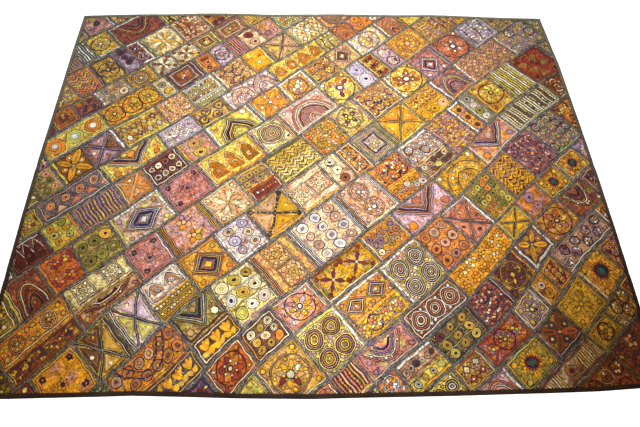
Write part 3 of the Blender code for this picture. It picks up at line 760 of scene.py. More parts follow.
def roof(p):  # nested gables over a flower
    w, h = p.hu, p.hv
    base = np.array([p.cu, p.cv - h])
    eaves = [-w * 0.75, h * 0.8]
    path = base + np.concatenate([route([[-w * 0.9, 0], eaves], 6), route([eaves, [0, 1.95 * h]], 9)[1:]])
    path = np.concatenate([path, (path * [-1, 1] + [2 * p.cu, 0])[::-1][1:]])
    nest(p, path, np.arange(0.98, 0.35, -8.0 / min(w, 2 * h)), base, 4.0)
    bloom(p, base[None] + [0, h * 0.35], min(w, h) * 0.26, 6, p.main, p.light)
    top = middle(p) + [[-w * 0.8, h * 0.72], [w * 0.8, h * 0.72]]
    fill(p, top, polygon(min(w * 0.16, h * 0.22), 5), p.mixed, 1.2)


def peaks(p):  # one pointed dome under a dark line that climbs over it
    w, h, c = p.hu, p.hv, middle(p)
    outline = np.array([[-0.8, -0.85], [-0.76, -0.2], [-0.5, 0.36], [0, 0.74], [0.5, 0.36], [0.76, -0.2],
                        [0.8, -0.85]]) * [w, h]
    fill(p, c, outline[None], p.second, 1.0, rim=0)
    fill(p, c - [0, h * 0.25], polygon(min(w, h) * 0.3, 8), p.light, 1.5)
    fill(p, c - [0, h * 0.25], polygon(min(w, h) * 0.13, 6), p.second, 2.0)
    over = c + np.array([[-1, -0.35], [-0.85, -0.1], [-0.5, 0.45], [0, 0.95], [0.5, 0.45], [0.85, -0.1],
                         [1, -0.35]]) * [w, h]
    line(p, over[None], 3.6, p.dark, 1.4)
    line(p, (over + [0, 4.2])[None], 2.4, p.light, 1.1)


def zigzag(p):  # rows of a light zigzag over a dark one, with dots under them
    for v in steps(p.hv, 17):
        line(p, level(p, v, 65, lambda t: saw(t, 36, 8)), 3.6, p.dark, 1.3)
        line(p, level(p, v + 4.6, 65, lambda t: saw(t, 36, 8)), 3.6, (p.light, p.main), 1.2)
        u = steps(p.hu, 18)
        fill(p, np.c_[p.cu + u, np.full(len(u), p.cv + v - 5)], polygon(3.6, 5), p.mixed, 1.2)


def bands(p):  # pairs of lines along the patch, and rows of dots between them
    threads = (p.main, p.second, p.light)
    for k, v in enumerate(steps(p.hv, 11.5)):
        if k % 2:
            u = steps(p.hu, 11)
            fill(p, np.c_[p.cu + u, np.full(len(u), p.cv + v)], polygon(4.4, 6), p.mixed, 1.2)
        else:
            line(p, level(p, (v - 2.6, v + 2.6)), 3.6, threads[(k // 2) % 3], 1.2, edge=0.8)


def stripes(p):  # ribbons across the patch, every third with a row of dots on it
    threads = (p.main, p.light, p.second, p.main)
    for k, u in enumerate(steps(p.hu, 12)):
        line(p, upright(p, u), 8.6, threads[k % 4], 1.2, edge=0.8)
        if k % 3 == 1:
            v = steps(p.hv, 11)
            fill(p, np.c_[np.full(len(v), p.cu + u), p.cv + v], polygon(4.4, 6), p.mixed, 1.6)


def ties(p, width, tone, chain):
    # two diagonals, bright three-sided fields between them, and rings or a light line along them
    w, h, c = p.hu, p.hv, middle(p)
    ends = np.array([[[-w, -h], [w, h]], [[-w, h], [w, -h]]]) + c[0]
    paths = np.stack([np.linspace(e[0], e[1], 22) for e in ends])
    field = np.array([[-0.5, 0.0], [0.3, 0.66], [0.3, -0.66]])
    for a, b in ((1, 0), (-1, 0), (0, 1), (0, -1)):
        shape = (field * [a, 1] if a else field[:, ::-1] * [1, b]) * [w, h]
        at = c + [a * w * 0.62, b * h * 0.62]
        fill(p, at, shape[None], (p.main, p.second, p.main), 0.8)
        for scale, thread in ((0.8, p.dark), (0.62, p.light)):
            line(p, at[:, None] + (shape[[0, 1, 2, 0]] * scale)[None], 2.0, thread, 1.3)
        fill(p, c + [a * w * 0.7, b * h * 0.7], polygon(min(w, h) * 0.13, 7), (p.light, p.other), 1.5)
    line(p, paths, width, tone, 1.3)
    if chain:
        at = np.concatenate([np.linspace(e[0], e[1], 15)[1:-1] for e in ends])
        fill(p, at[::2], polygon(width * 0.42, 7), ("brown", "grey"), 2.2, rim=0)
        fill(p, np.concatenate([at[1::2], c]), polygon(width * 0.3, 6), ("white", "lime"), 2.2, rim=0)
        knots = np.concatenate([ends.reshape(-1, 2) * 0.9 + c * 0.1, c])
        fill(p, knots, polygon(width * 0.75, 9), (p.dark, "brown"), 2.0)
    else:
        line(p, paths, 1.8, p.light, 2.2)


def xline(p):  # ties in the second thread
    ties(p, 5.0, p.second, False)


def xdark(p):  # broad dark ties
    ties(p, 9.5, p.dark, False)


def chaintie(p):  # dark ties with rings along them
    ties(p, 9.0, p.dark, True)


def frames(p):  # nested frames round a flower
    path = frameOf(p, 0)[0]
    nest(p, path, np.arange(0.96, 0.5, -8.5 / min(p.hu, p.hv)), middle(p), 3.8)
    bloom(p, middle(p), min(p.hu, p.hv) * 0.4, 7, p.mixed, p.light)


def archPath(p, n=20):  # a half ellipse on the cell's lower side, and the middle of its foot
    a = np.linspace(0, math.pi, n)
    base = np.array([p.cu, p.cv - p.hv * 0.95])
    return base, base + np.c_[np.cos(a) * p.hu * 0.95, np.sin(a) * p.hv * 1.8]


def arch(p):  # nested arches over a small flower
    base, path = archPath(p)
    nest(p, path, np.arange(1.0, 0.25, -9.5 / p.hu), base, 4.2)
    bloom(p, base[None] + [0, p.hv * 0.3], 8, 6, p.main, p.light)
    fill(p, corners(p, 9)[[1, 3]], polygon(7, 6), p.second)


def ringarch(p):  # a broad arch between two dark ones, with rings along it and a flower under it
    base, path = archPath(p, 24)
    r = min(p.hu, p.hv)
    line(p, path[None], 4.2, p.dark, 1.3)
    line(p, (base + (path - base) * 0.58)[None], 4.2, p.dark, 1.3)
    line(p, (base + (path - base) * 0.78)[None], r * 0.3, p.main, 0.7)
    at = base + (path - base)[1::3] * 0.79
    fill(p, at, polygon(r * 0.11, 8), (p.light, p.main), 1.5)
    fill(p, at, polygon(r * 0.045, 5), p.dark, 2.2, rim=0)
    bloom(p, base[None] + [0, p.hv * 0.5], r * 0.3, 6, p.mixed, p.light)
    fill(p, corners(p, 12)[[1, 3]], polygon(9, 8), p.light)


def swag(p):  # dark chains hanging in parabolas over round flowers
    discs(changed(p, grid=(6, 2)))
    t = np.linspace(-1, 1, 24)
    for k, drop in enumerate((1.7, 1.2)):
        path = middle(p) + np.c_[t * p.hu * (0.75 - 0.2 * k), p.hv - (1 - t * t) * p.hv * drop]
        line(p, path[None], 5.0, p.dark, 2.6)
        fill(p, path[2:-2:3], polygon(1.9, 5), "lilac", 3.2, rim=0)


def crescent(p):  # nested parabolas that hang from the upper side, with a row of dots along them
    t = np.linspace(-1, 1, 24)
    path = middle(p) + np.c_[t * p.hu * 0.85, p.hv * 0.9 - (1 - t * t) * p.hv * 1.7]
    top = middle(p)[0] + [0, p.hv * 0.9]
    nest(p, path, (1.0, 0.8, 0.6, 0.4), top, 4.6)
    fill(p, top + (path - top)[2:-2:3] * 0.9, polygon(4.0, 6), p.mixed, 2.0)
    fill(p, corners(p, 9)[[0, 2]], polygon(7, 6), p.mixed, 1.2)


def target(p):  # round lines one inside the other, in three threads by turns
    size = min(p.hu, p.hv) * 0.97
    threads = (p.main, p.second, p.light)
    for k, r in enumerate(np.arange(size, 5, -6.6)):
        line(p, rounds(middle(p), r, 22), 3.6, threads[k % 3], 1.2, edge=1.2)
    fill(p, middle(p), polygon(4.2, 7), (p.light, p.other), 1.6)
    fill(p, corners(p, 8), polygon(5, 5), p.mixed, 1.0)


def barring(p):  # a round flower with upright bars of satin stitch on both sides
    bloom(p, middle(p), p.hv * 0.7, 9, "orange", p.dark, p.light)
    line(p, rounds(middle(p), p.hv * 0.36, 14), 3.4, p.main, 2.0)
    for u in (0.42, 0.58, 0.74, 0.9):
        for side in (-1, 1):
            line(p, upright(p, side * u * p.hu, 9), 6.5, (p.second, "lime", "gold"), 1.4, edge=1.0)


def sparse(p):  # worn plain cloth with a few small dark flowers
    seeds(p, 90, (p.main, p.second, p.light, p.other), 7)
    bloom(p, corners(p, 14)[dice.permutation(4)[:3]], 10, 5, p.dark, p.second)
    bloom(p, middle(p) + dice.normal(0, 6, (1, 2)), 16, 6, (p.second, p.main), p.dark)
    line(p, frameOf(p, 4), 2.6, p.second, 1.0)


def ogee(p):  # a net of dark lozenges with a filled lozenge in each mesh
    nu, nv = max(1, round(p.hu / 20)), max(1, round(p.hv / 19))
    a, b = p.hu / nu, p.hv / nv
    for v in steps(p.hv, 2 * b):
        for sign in (-1, 1):
            net = level(p, v, 8 * nu + 1, lambda t: sign * (saw(t + p.hu, 2 * a, b * 0.92)))
            line(p, net, 3.2, p.dark, 1.3)
    c = spots(changed(p, grid=(nu, nv)), 38, False)
    lozenge = np.array([[[0.62 * a, 0], [0, 0.6 * b], [-0.62 * a, 0], [0, -0.6 * b]]])
    fill(p, c, lozenge, (p.second, p.main, p.light), 1.1)
    fill(p, c, polygon(min(a, b) * 0.2, 6), p.light, 1.8, rim=1.2)
    edges = np.concatenate([c + [a, 0], c[:nv] - [a, 0]])
    fill(p, edges, polygon(min(a, b) * 0.22, 4), p.second, 1.0, rim=1.5)


def hexagons(p):  # a six-sided field with a dark line and a heart in each mesh, and a zigzag on both sides
    nu, nv, a, b = meshes(p, 48)
    r = min(a, b)
    c = spots(changed(p, grid=(nu, nv)), 38, False)
    fill(p, c, polygon(r * 0.92, 6), (p.main, p.second), 1.0, rim=3.0)
    line(p, rounds(c, r * 0.62, 6), 3.0, p.dark, 1.6)
    fill(p, c, polygon(r * 0.36, 6), (p.light, "orange"), 1.8)
    sides = level(p, (-p.hv * 0.96, p.hv * 0.96), 45, lambda t: saw(t, 38, 4))
    line(p, sides, 3.2, p.light, 1.0, edge=1.0)


# these fill the whole patch
motifs = {f.__name__: f for f in (
    flowers, rings, discs, leaves, ogee, hexagons, zigzag, bands, stripes, sparse, swag, crescent, barring)}
# these fill one cell, and are repeated where the chart gives columns and rows
cellMotifs = {f.__name__: f for f in (
    square, rosette, bigflower, star, sunflower, leafcross, tulips, triangles, diamond, garland, vee, roof,
    peaks, xline, xdark, chaintie, frames, arch, ringarch, target)}


def stitchMotif(p):
    # over the whole patch, or in each cell of the chart's grid, or of one whose cells are nearly square
    if p.motif in motifs:
        motifs[p.motif](p)
        return
    nu, nv = p.grid or (max(1, round(0.75 * p.hu / p.hv)), max(1, round(0.75 * p.hv / p.hu)))
    for i in range(nu):
        for j in range(nv):
            cellMotifs[p.motif](changed(p, hu=p.hu / nu, hv=p.hv / nv, grid=None,
                                        cu=p.cu + p.hu * ((2 * i + 1) / nu - 1),
                                        cv=p.cv + p.hv * ((2 * j + 1) / nv - 1)))


def placePatch(p):
    # finds the part of the patch inside the cloth, and keeps room for its ribbon bars
    u, v = np.meshgrid(np.arange(p.u0, p.u1 + 1, 4.0), np.arange(p.v0, p.v1 + 1, 4.0))
    seen = edgeRoom(*toWorld(u, v)) > 0
    if seen.sum() < 4:
        return False
    p.u0, p.u1 = max(p.u0, u[seen].min() - 4), min(p.u1, u[seen].max() + 4)
    p.phase = dice.uniform(0, 6)
    p.dark = linear(darks[int(dice.integers(0, len(darks)))])
    p.light = lights[int(dice.integers(0, len(lights)))]
    p.other = others[int(dice.integers(0, len(others)))]
    p.mixed = (p.main, p.main, p.second, p.light, p.other)
    p.border = not p.bars and dice.random() < needle["borders"]
    gap = 14.0 if p.border else 7.5
    low = [p.u0 + gap, max(p.v0, v[seen].min() - 4) + gap]
    high = [p.u1 - gap, min(p.v1, v[seen].max() + 4) - gap]
    room = {"L": (low, 0, 1), "R": (high, 0, -1), "B": (low, 1, 1), "T": (high, 1, -1)}
    for side, kind in p.bars:
        ends, axis, sign = room[side]
        wide = ribbon["width"] + 1.5 if kind in barColours else int(kind) * ribbon["lineGap"]
        ends[axis] += sign * wide
    p.cu, p.cv = (low[0] + high[0]) / 2, (low[1] + high[1]) / 2
    p.hu, p.hv = max(6.0, (high[0] - low[0]) / 2), max(6.0, (high[1] - low[1]) / 2)
    return True


# mm: a bar's width and the pitch of its satin stitches, the gap between the lines that stand for a bar,
# and the threads that stray into it
ribbon = {"width": 8.5, "stitch": 3.1, "lineGap": 6.0, "strays": ("grey", "lime", "mauve", "tan")}
# the outlines' dark, the accent and the third thread of each patch are drawn from these
darks = ("3a2230", "28264a", "45251e", "2c2d36")
lights = ("cream", "lime", "white", "peach", "cream", "gold")
others = ("marigold", "orange", "rust", "plum", "mauve", "lime", "coral", "olive", "maroon", "gold")


def ribbonBar(p, bar):
    # satin stitches side by side, each across the bar, or so many lines along the side
    side, kind = bar
    if kind.isdigit():
        first = 8.0 + sum(ribbon["width"] + 1.5 for b in p.bars if b[0] == side and b != bar)
        for k in range(int(kind)):
            at = first + k * ribbon["lineGap"]
            if side in "LR":
                u = p.u0 + at if side == "L" else p.u1 - at
                path = np.linspace((u, p.v0 + 7), (u, p.v1 - 7), 16)
            else:
                v = p.v0 + at if side == "B" else p.v1 - at
                path = np.linspace((p.u0 + 7, v), (p.u1 - 7, v), 16)
            line(p, path[None], 3.2, (p.light, p.second, p.light, p.other), 1.3, edge=1.3)
        return
    w, pitch = ribbon["width"], ribbon["stitch"]
    low, high = (p.u0 + 6, p.v0 + 6), (p.u1 - 6, p.v1 - 6)
    if side in "LR":
        t = np.arange(low[1] + 1.5, high[1], pitch)
        u = low[0] if side == "L" else high[0] - w
        a, b = np.c_[np.full(len(t), u), t], np.c_[np.full(len(t), u + w), t + 1.0]
    else:
        t = np.arange(low[0] + 1.5, high[0], pitch)
        v = low[1] if side == "B" else high[1] - w
        a, b = np.c_[t, np.full(len(t), v)], np.c_[t + 1.0, np.full(len(t), v + w)]
    if len(t):
        stitches = np.stack([a, (a + b) / 2, b], axis=1)
        line(p, stitches, pitch * 1.12, (barColours[kind],) * 12 + ribbon["strays"], 1.5)
        for rail in (a, b):
            k = np.linspace(0, len(t) - 1, 24).astype(int)
            line(p, rail[k][None], 2.4, p.dark, 1.9)


def border(p):  # lines of stitching round the inside of the braid, light between dark
    lines = ((6.3, p.dark, 2.0), (9.3, (p.light, p.second, p.main), 3.2), (12.4, p.dark, 2.0))
    for inset, tone, width in lines if p.border else lines[:1]:
        u0, u1, v0, v1 = p.u0 + inset, p.u1 - inset, p.v0 + inset, p.v1 - inset
        box = np.array([(u0, v0), (u1, v0), (u1, v1), (u0, v1)])
        for k in range(4):
            line(p, np.linspace(box[k], box[(k + 1) % 4], 16)[None], width, tone, 1.3)


def pad(p, tray):
    # the patch itself: a grid from side to side, lifted by surfaceLift
    nu = max(2, math.ceil((p.u1 - p.u0) / needle["padStep"]))
    nv = max(2, math.ceil((p.v1 - p.v0) / needle["padStep"]))
    fu, fv = np.linspace(0, 1, nu + 1), np.linspace(0, 1, nv + 1)
    u, v = np.meshgrid(p.u0 + (p.u1 - p.u0) * fu, p.v0 + (p.v1 - p.v0) * fv, indexing="ij")
    # its colour drifts between its threads: two slow sines of the place choose the share of each
    a = p.phase
    share = 0.5 + 0.5 * np.sin(u / 13 + 2 * np.sin(v / 21 + a)) * np.sin(v / 15 - 2 * np.sin(u / 27 - a))
    third = np.clip(np.sin(u / 19 - v / 23 + 3 * a) * np.sin(v / 12 + u / 31 + a) * 1.6 - 0.3, 0, 0.7)
    share, third = (0.75 * share).reshape(-1, 1), third.reshape(-1, 1)
    ground = (tones[p.main] * (1 - share) + tones[p.second] * share) * (1 - third) + tones[p.other] * third
    if p.dim:
        ground = 0.2 * ground + 0.9 * p.dark
    sew(p, u, v, np.zeros(u.shape), gridFaces(nu + 1, nv + 1), ground, u, v, 0.0, tray)


def addPatches():
    # lays the pads in one tray and the stitching in others, each small enough for one piece
    patches, rowSeams, crossSeams = makePatches()
    pads, threads, current = newTray(), [], newTray()
    for p in patches:
        if not placePatch(p):
            continue
        pad(p, pads)
        p.tray = current
        size = 4 * p.hu * p.hv
        seeds(p, needle["seedsPer"] * size, (p.main, p.second, p.light, p.main, p.dark))
        border(p)
        stitchMotif(p)
        for bar in p.bars:
            ribbonBar(p, bar)
        if trisIn(current) > needle["trisInPiece"]:
            threads.append(current)
            current = newTray()
    threads.append(current)
    return pads, threads, rowSeams, crossSeams


# the braid over every seam
braid = {
    "width": 9.4,        # mm
    "pitch": 5.2,        # mm from plait to plait
    "edgeLift": 1.15,    # mm over the back, at its sides
    "crown": 1.6,        # mm that its middle stands over its sides
    "crossDrop": 0.3,    # mm that it lies lower along the cross seams, under the rows' braid
    "plaitRise": 0.75,   # mm, the middle of a plait over the arch
    "plaitRoom": 1.5,    # mm that a plait keeps from the binding
    "underBinding": 9,   # mm that its ribbon runs in under the binding
    "uneven": 0.09,      # how much its width comes and goes
    "base": "2e2b2a",    # the ribbon between the plaits, always in shade
    "plaits": ("74766f", "52555a", "888b84", "5f5f72", "6a6b58"),
}


def braidLift(s, room):  # an arch across, flattened where it runs in under the binding
    free = np.clip(room / 5.0, 0, 1)
    return braid["edgeLift"] + (braid["crown"] * (1 - s * s)) * (0.15 + 0.85 * free)


def onCloth(pts, s, drop, rise=0.0):
    # points over the drape by the arch's lift at s - drop + rise, and their room to the edge
    x, z = toWorld(pts[..., 0], pts[..., 1])
    room = edgeRoom(x, z)
    lift = braidLift(s, room) - drop + rise
    return np.c_[x.ravel(), (drapeY(x, z) - lift * mm).ravel(), z.ravel()], room


def braidAlong(tray, start, end, drop):
    # a ribbon with an arched section from start to end, and two rows of slanting plaits on it
    start, end = np.array(start, float), np.array(end, float)
    length = np.linalg.norm(end - start)
    n = max(2, int(length / braid["pitch"]))
    d = (end - start) / length
    m = np.array([-d[1], d[0]])
    half = braid["width"] / 2
    centre = start + d * np.linspace(0, length, n + 1)[:, None]
    s = np.array([-1, -0.45, 0.45, 1.0])
    run = np.linspace(0, length, n + 1)
    swell = 1 + braid["uneven"] * (np.sin(run / 11 + start[0]) + 0.7 * np.sin(run / 4.7 + start[1]))
    pts = centre[:, None, :] + m * (s * half)[None, :, None] * swell[:, None, None]
    xyz, room = onCloth(pts, np.broadcast_to(s, pts.shape[:2]), drop)
    inside = (room > -braid["underBinding"]).reshape(n + 1, 4).all(axis=1)
    faces = gridFaces(n + 1, 4)[np.repeat(inside[:-1] & inside[1:], 3)][:, ::-1]
    lay(tray, xyz, faces, linear(braid["base"]),
        np.c_[np.repeat(run, 4), np.tile(s, n + 1), np.zeros(4 * (n + 1))])
    shades = np.array([linear(c) for c in braid["plaits"]])
    rise = np.array([braid["plaitRise"], 0, 0, 0, 0])[None]
    for side in (-1, 1):   # a plait is a low pyramid of four faces, long along the braid
        at = start + d * ((np.arange(n) + 0.5 + 0.25 * side) * length / n)[:, None] + m * side * half * 0.46
        long, wide = d * 3.2 + m * side * 2.4, (m * side * 1.0 - d * 0.9) * 1.5
        pts = at[:, None, :] + np.stack([0 * d, long, wide, -long, -wide])[None]
        across = ((pts - start) @ m) / half
        pyramid = np.array([[0, 1, 2], [0, 2, 3], [0, 3, 4], [0, 4, 1]])[:, ::-side]
        xyz, room = onCloth(pts, np.clip(across, -1, 1), drop, rise)
        free = room.min(axis=1) > braid["plaitRoom"]
        tone = shades[dice.integers(0, len(shades), n)] * dice.uniform(0.8, 1.25, (n, 1))
        lay(tray, xyz, repeated(pyramid, n, 5)[np.repeat(free, 4)], np.repeat(tone, 5, axis=0),
            np.c_[np.tile([0, 3, 0, -3, 0.0], n), across.ravel(), np.zeros(5 * n)])


def addBraids(rowSeams, crossSeams):
    # along every row seam from edge to edge, and a little lower along each cross seam (u, v0 to v1)
    tray = newTray()
    for v in rowSeams:
        u = np.arange(-1900, 1500, 2.0)
        inside = edgeRoom(*toWorld(u, np.full(len(u), v))) > -7
        braidAlong(tray, (u[inside].min(), v), (u[inside].max(), v), 0.0)
    for u, v0, v1 in crossSeams:
        braidAlong(tray, (u, v0 + 2), (u, v1 - 2), braid["crossDrop"])
    return tray


def addSheet(material):
    # the backing: a closed sheet between the bowed edges, its front and back one grid each
    nu, nv = round(cloth["width"] / cloth["gridStep"]), round(cloth["height"] / cloth["gridStep"])
    s, t = np.meshgrid(np.linspace(0, 1, nu + 1), np.linspace(0, 1, nv + 1), indexing="ij")
    z0 = cornerZ - cloth["height"] * (1 - t)
    x = leftX(z0) + s * (rightX(z0) - leftX(z0))
    z = bottomZ(x) + t * (topZ(x) - bottomZ(x))
    y = drapeY(x, z)
    front = gridFaces(nu + 1, nv + 1)
    total = (nu + 1) * (nv + 1)
    index = np.arange(total).reshape(nu + 1, nv + 1)
    loop = np.concatenate([index[:-1, 0], index[-1, :-1], index[:0:-1, -1], index[0, :0:-1]])
    after = np.roll(loop, -1)
    walls = np.c_[loop, loop + total, after + total, after]
    faces = np.concatenate([front, front[:, ::-1] + total, walls])
    xyz = np.concatenate([np.c_[x.ravel(), (y - cloth["sheetFront"] * mm).ravel(), z.ravel()],
                          np.c_[x.ravel(), y.ravel(), z.ravel()]])
    stitch = np.tile(np.c_[x.ravel(), z.ravel(), np.zeros(total)] / mm, (2, 1))
    tray = newTray()
    lay(tray, xyz, faces, linear(cloth["backing"]), stitch)
    return pieceFrom(tray, "ground_sheet", material)


# the folded binding: its section as (inwards from the edge, lift over the back), in mm
binding = {
    "outside": ((12.0, -1.1), (6, -1.35), (0.5, -1.25), (-1.2, -0.6), (-1.6, 1.0), (-1.2, 2.6),
                (0.4, 3.2), (6, 3.5), (11.2, 3.3), (12.0, 2.7)),
    "inside": ((12.0, -0.5), (6, -0.6), (0.9, -0.5), (-0.3, -0.1), (-0.5, 1.0), (-0.3, 2.0),
               (0.9, 2.4), (6, 2.6), (11.0, 2.4), (11.8, 2.3)),
    "stationStep": 0.006,
    "pucker": 0.28,      # mm, gathers at the topstitching
    "colour": "35261f",  # at the bottom
    "faded": "6d6859",   # at the top, greyed by light
}


def addBinding(name, edge, inward, along, flat, material):
    # the section swept along the edge, its face gently rippled by two sines
    section = np.array(binding["outside"] + binding["inside"][::-1])
    k, n = len(section), len(along)
    ripple = binding["pucker"] * (np.sin(along * 420) + 0.7 * np.sin(along * 253 + 1))
    lift = section[None, :, 1] + np.where(section[None, :, 1] > 2.5, ripple[:, None], 0)
    depth = section[None, :, 0] * mm * inward
    place, out = np.repeat(along[:, None], k, 1), edge(along)[:, None] + depth
    x, z = (place, out) if flat else (out, place)   # a flat edge runs along X, an upright one along Z
    y = drapeY(x, z) - lift * mm
    i, j = np.meshgrid(np.arange(n - 1), np.arange(k), indexing="ij")
    nj = (j + 1) % k
    faces = np.stack([i * k + j, i * k + nj, (i + 1) * k + nj, (i + 1) * k + j], axis=2).reshape(-1, 4)
    c = np.arange(k // 2 - 1)
    cap = np.c_[c, k - 1 - c, k - 2 - c, c + 1]
    faces = np.concatenate([faces, cap, cap[:, ::-1] + (n - 1) * k])
    xyz = np.c_[x.ravel(), y.ravel(), z.ravel()]
    if (inward < 0) == flat:
        faces = faces[:, ::-1]
    tray = newTray()
    fade = ramp(xyz[:, 2], -1.35, -0.1)[:, None]
    lay(tray, xyz, faces, linear(binding["colour"]) * (1 - fade) + linear(binding["faded"]) * fade,
        np.c_[np.repeat(along / mm, k), np.tile(section[:, 0], n), np.zeros(n * k)])
    piece = pieceFrom(tray, name + "_cloth", material)
    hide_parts(name)
    return piece


def addBindings(material):
    # the upper and lower strips run past the corners, and the upright ones end between them
    step = binding["stationStep"]
    wide = np.linspace(-1.0012, 1.0012, round(2.0 / step))
    tall = np.linspace(cornerZ - cloth["height"] + 0.0124, cornerZ - 0.0124, round(1.55 / step))
    return [addBinding("binding_top", topZ, -1, wide, True, material),
            addBinding("binding_bottom", bottomZ, 1, wide, True, material),
            addBinding("binding_left", leftX, 1, tall, False, material),
            addBinding("binding_right", rightX, -1, tall, False, material)]


def add(tree, kind, inputs=(), **values):
    # one node of any kind: inputs are (socket, value or output socket), values are its settings
    node = tree.nodes.new(kind)
    for name, value in values.items():
        setattr(node, name, value)
    for socket, value in inputs:
        if hasattr(value, "links"):
            tree.links.new(value, node.inputs[socket])
        else:
            node.inputs[socket].default_value = value
    return node


def clothMaterial(name, look):
    # thread colour of the points times worn patches and flecks, with a relief of stitch ridges and flecks
    material = bpy.data.materials.new(name)
    material.use_nodes = True
    tree = material.node_tree
    shader = tree.nodes["Principled BSDF"]
    shader.inputs["Roughness"].default_value = look["roughness"]
    shader.inputs["Sheen Weight"].default_value = look["sheen"]
    shader.inputs["Sheen Roughness"].default_value = 0.5
    shader.inputs["Specular IOR Level"].default_value = 0.07
    place = add(tree, "ShaderNodeTexCoord").outputs["Object"]
    thread = add(tree, "ShaderNodeAttribute", attribute_name="thread").outputs["Color"]
    stitch = add(tree, "ShaderNodeAttribute", attribute_name="stitch").outputs["Vector"]
    wear = add(tree, "ShaderNodeTexNoise",
               (("Vector", place), ("Scale", 1 / look["wear"]), ("Detail", 3.0)))
    fleck = add(tree, "ShaderNodeTexVoronoi", (("Vector", place), ("Scale", 1 / look["fleck"])))
    # sockets 1 to 4 of a map range are its From Min, From Max, To Min and To Max
    light = add(tree, "ShaderNodeMapRange",
                (("Value", wear.outputs["Fac"]), (1, 0.3), (2, 0.7), (3, 1 - look["mottle"]),
                 (4, 1 + look["mottle"])))
    grain = add(tree, "ShaderNodeSeparateColor", (("Color", fleck.outputs["Color"]),))
    shade = add(tree, "ShaderNodeMapRange",
                (("Value", grain.outputs[0]), (3, 1 - look["flecks"]), (4, 1 + look["flecks"])))
    both = add(tree, "ShaderNodeMath", ((0, light.outputs[0]), (1, shade.outputs[0])), operation="MULTIPLY")
    colour = add(tree, "ShaderNodeVectorMath", ((0, thread), ("Scale", both.outputs[0])), operation="SCALE")
    tree.links.new(colour.outputs[0], shader.inputs["Base Color"])
    ridge = add(tree, "ShaderNodeTexWave",
                (("Vector", stitch), ("Scale", look["ridge"]), ("Distortion", 1.5), ("Detail", 1.0),
                 ("Detail Scale", 1.0)), bands_direction=look["ridgeAxis"])
    high = add(tree, "ShaderNodeMath",
               ((0, ridge.outputs["Fac"]), (1, fleck.outputs["Distance"])), operation="ADD")
    bump = add(tree, "ShaderNodeBump",
               (("Strength", look["relief"]), ("Distance", look["depth"]), ("Height", high.outputs[0])))
    tree.links.new(bump.outputs[0], shader.inputs["Normal"])
    return material


# what each real cloth gives the eye: sizes in m, ridge is turns for each 20 mm of thread; the flecks and
# ridges are a little coarser than real thread, or they would be too fine to show
looks = {
    # stranded cotton: soft satin lines of light along each stitch, faded unevenly
    "stranded embroidery cotton": {
        "roughness": 0.62, "sheen": 0.05, "wear": 0.03, "mottle": 0.22, "fleck": 0.004, "flecks": 0.28,
        "ridge": 0.14, "ridgeAxis": "DIAGONAL", "relief": 0.5, "depth": 0.0006},
    # old patch cloth under dense running stitches, worn and speckled with thread ends
    "old stitched patch cotton": {
        "roughness": 0.85, "sheen": 0.05, "wear": 0.02, "mottle": 0.4, "fleck": 0.0045, "flecks": 0.6,
        "ridge": 0.09, "ridgeAxis": "X", "relief": 0.7, "depth": 0.0008},
    # plaited cotton braid, dull slate with paler worn crowns
    "plaited cotton braid": {
        "roughness": 0.8, "sheen": 0.05, "wear": 0.025, "mottle": 0.3, "fleck": 0.0022, "flecks": 0.3,
        "ridge": 0.16, "ridgeAxis": "DIAGONAL", "relief": 0.5, "depth": 0.0005},
    # plain woven cotton binding, matt, rubbed paler on its fold
    "woven cotton binding": {
        "roughness": 0.88, "sheen": 0.05, "wear": 0.05, "mottle": 0.25, "fleck": 0.0016, "flecks": 0.2,
        "ridge": 0.2, "ridgeAxis": "X", "relief": 0.4, "depth": 0.0004},
    # coarse cotton backing, plain weave
    "coarse cotton backing": {
        "roughness": 0.92, "sheen": 0.2, "wear": 0.12, "mottle": 0.18, "fleck": 0.0016, "flecks": 0.16,
        "ridge": 0.2, "ridgeAxis": "X", "relief": 0.4, "depth": 0.0003},
}


def addCamera():
    # solved from the photo's four corners: a standing viewer looks up at the hanging from below its edge
    data = bpy.data.cameras.new("camera")
    data.lens = 28.125
    data.sensor_width = 36.0
    camera = bpy.data.objects.new("camera", data)
    camera.location = (-0.0532, -1.5194, -1.8249)
    camera.rotation_euler = [math.radians(a) for a in (118.581, 1.135, -1.429)]
    bpy.context.scene.collection.objects.link(camera)
    bpy.context.scene.camera = camera


def addLight(name, place, turn, size, power, colour):  # a soft four-sided light, turned by degrees
    data = bpy.data.lights.new(name, "AREA")
    data.shape = "RECTANGLE"
    data.size, data.size_y = size
    data.energy = power
    data.color = colour
    lamp = bpy.data.objects.new(name, data)
    lamp.location = place
    lamp.rotation_euler = [math.radians(a) for a in turn]
    bpy.context.scene.collection.objects.link(lamp)


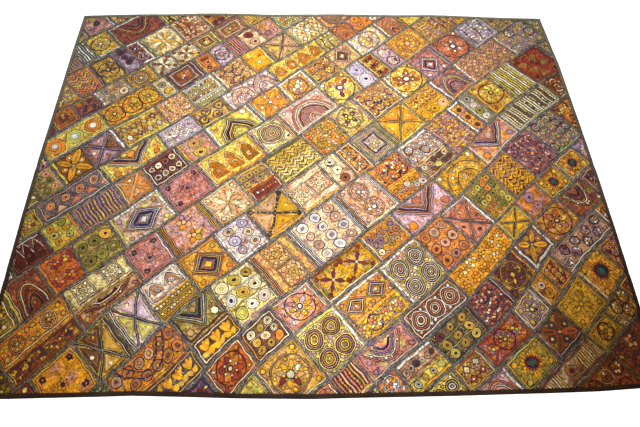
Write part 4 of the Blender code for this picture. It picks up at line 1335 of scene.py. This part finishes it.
def addBoard(name, points, glow):  # a flat pale board of the studio, lit from itself if it glows
    mesh = bpy.data.meshes.new(name)
    mesh.from_pydata(points, [], [(0, 1, 2, 3)])
    board = bpy.data.objects.new(name, mesh)
    bpy.context.scene.collection.objects.link(board)
    paint = bpy.data.materials.new(name + " paint")
    paint.use_nodes = True
    shader = paint.node_tree.nodes["Principled BSDF"]
    shader.inputs["Base Color"].default_value = (0.8, 0.8, 0.8, 1)
    shader.inputs["Roughness"].default_value = 0.9
    shader.inputs["Emission Color"].default_value = (1, 1, 1, 1)
    shader.inputs["Emission Strength"].default_value = glow
    mesh.materials.append(paint)


studio = {"fill": 0.50, "flash": 24.0, "rake": 25.0}   # strength of the world, watts of the two lights


def addStudio():
    # an even world, a flash and a raking light, with a pale floor below and a white wall far behind
    world = bpy.data.worlds.new("studio")
    world.use_nodes = True
    world.node_tree.nodes["Background"].inputs["Color"].default_value = (1, 1, 1, 1)
    world.node_tree.nodes["Background"].inputs["Strength"].default_value = studio["fill"]
    bpy.context.scene.world = world
    bpy.context.scene.view_settings.view_transform = "Standard"
    # the flash falls off from the upper middle, and a low light rakes over the stitches
    addLight("flash", (0.05, -1.25, -0.5), (90, 0, 0), (0.5, 0.9), studio["flash"], (1.0, 0.97, 0.9))
    addLight("rake", (-2.6, -0.9, 0.7), (62, 0, -72), (0.8, 0.8), studio["rake"], (1.0, 0.97, 0.92))
    low, wide, far, high = -2.5, 9.0, 6.0, 9
    sill = [(wide, far, low), (-wide, far, low)]
    addBoard("floor", [(-wide, -wide, low), (wide, -wide, low)] + sill, 0.0)
    addBoard("white wall", sill[::-1] + [(wide, far, high), (-wide, far, high)], 1.0)


addCamera()
addStudio()
print("camera and studio set")
made = {name: clothMaterial(name, look) for name, look in looks.items()}
sheet = addSheet(made["coarse cotton backing"])
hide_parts("ground_cloth")
pads, threads, rowSeams, crossSeams = addPatches()
print("patches laid and stitched")
parts = [pieceFrom(pads, "patches", made["old stitched patch cotton"])]
stranded = made["stranded embroidery cotton"]
for k, tray in enumerate(threads):
    parts.append(pieceFrom(tray, f"embroidery_{k + 1}", stranded))
seamTray = addBraids(rowSeams, crossSeams)
parts.append(pieceFrom(seamTray, "seam_braid", made["plaited cotton braid"]))
parts += addBindings(made["woven cotton binding"])
print("seams braided and edges bound")
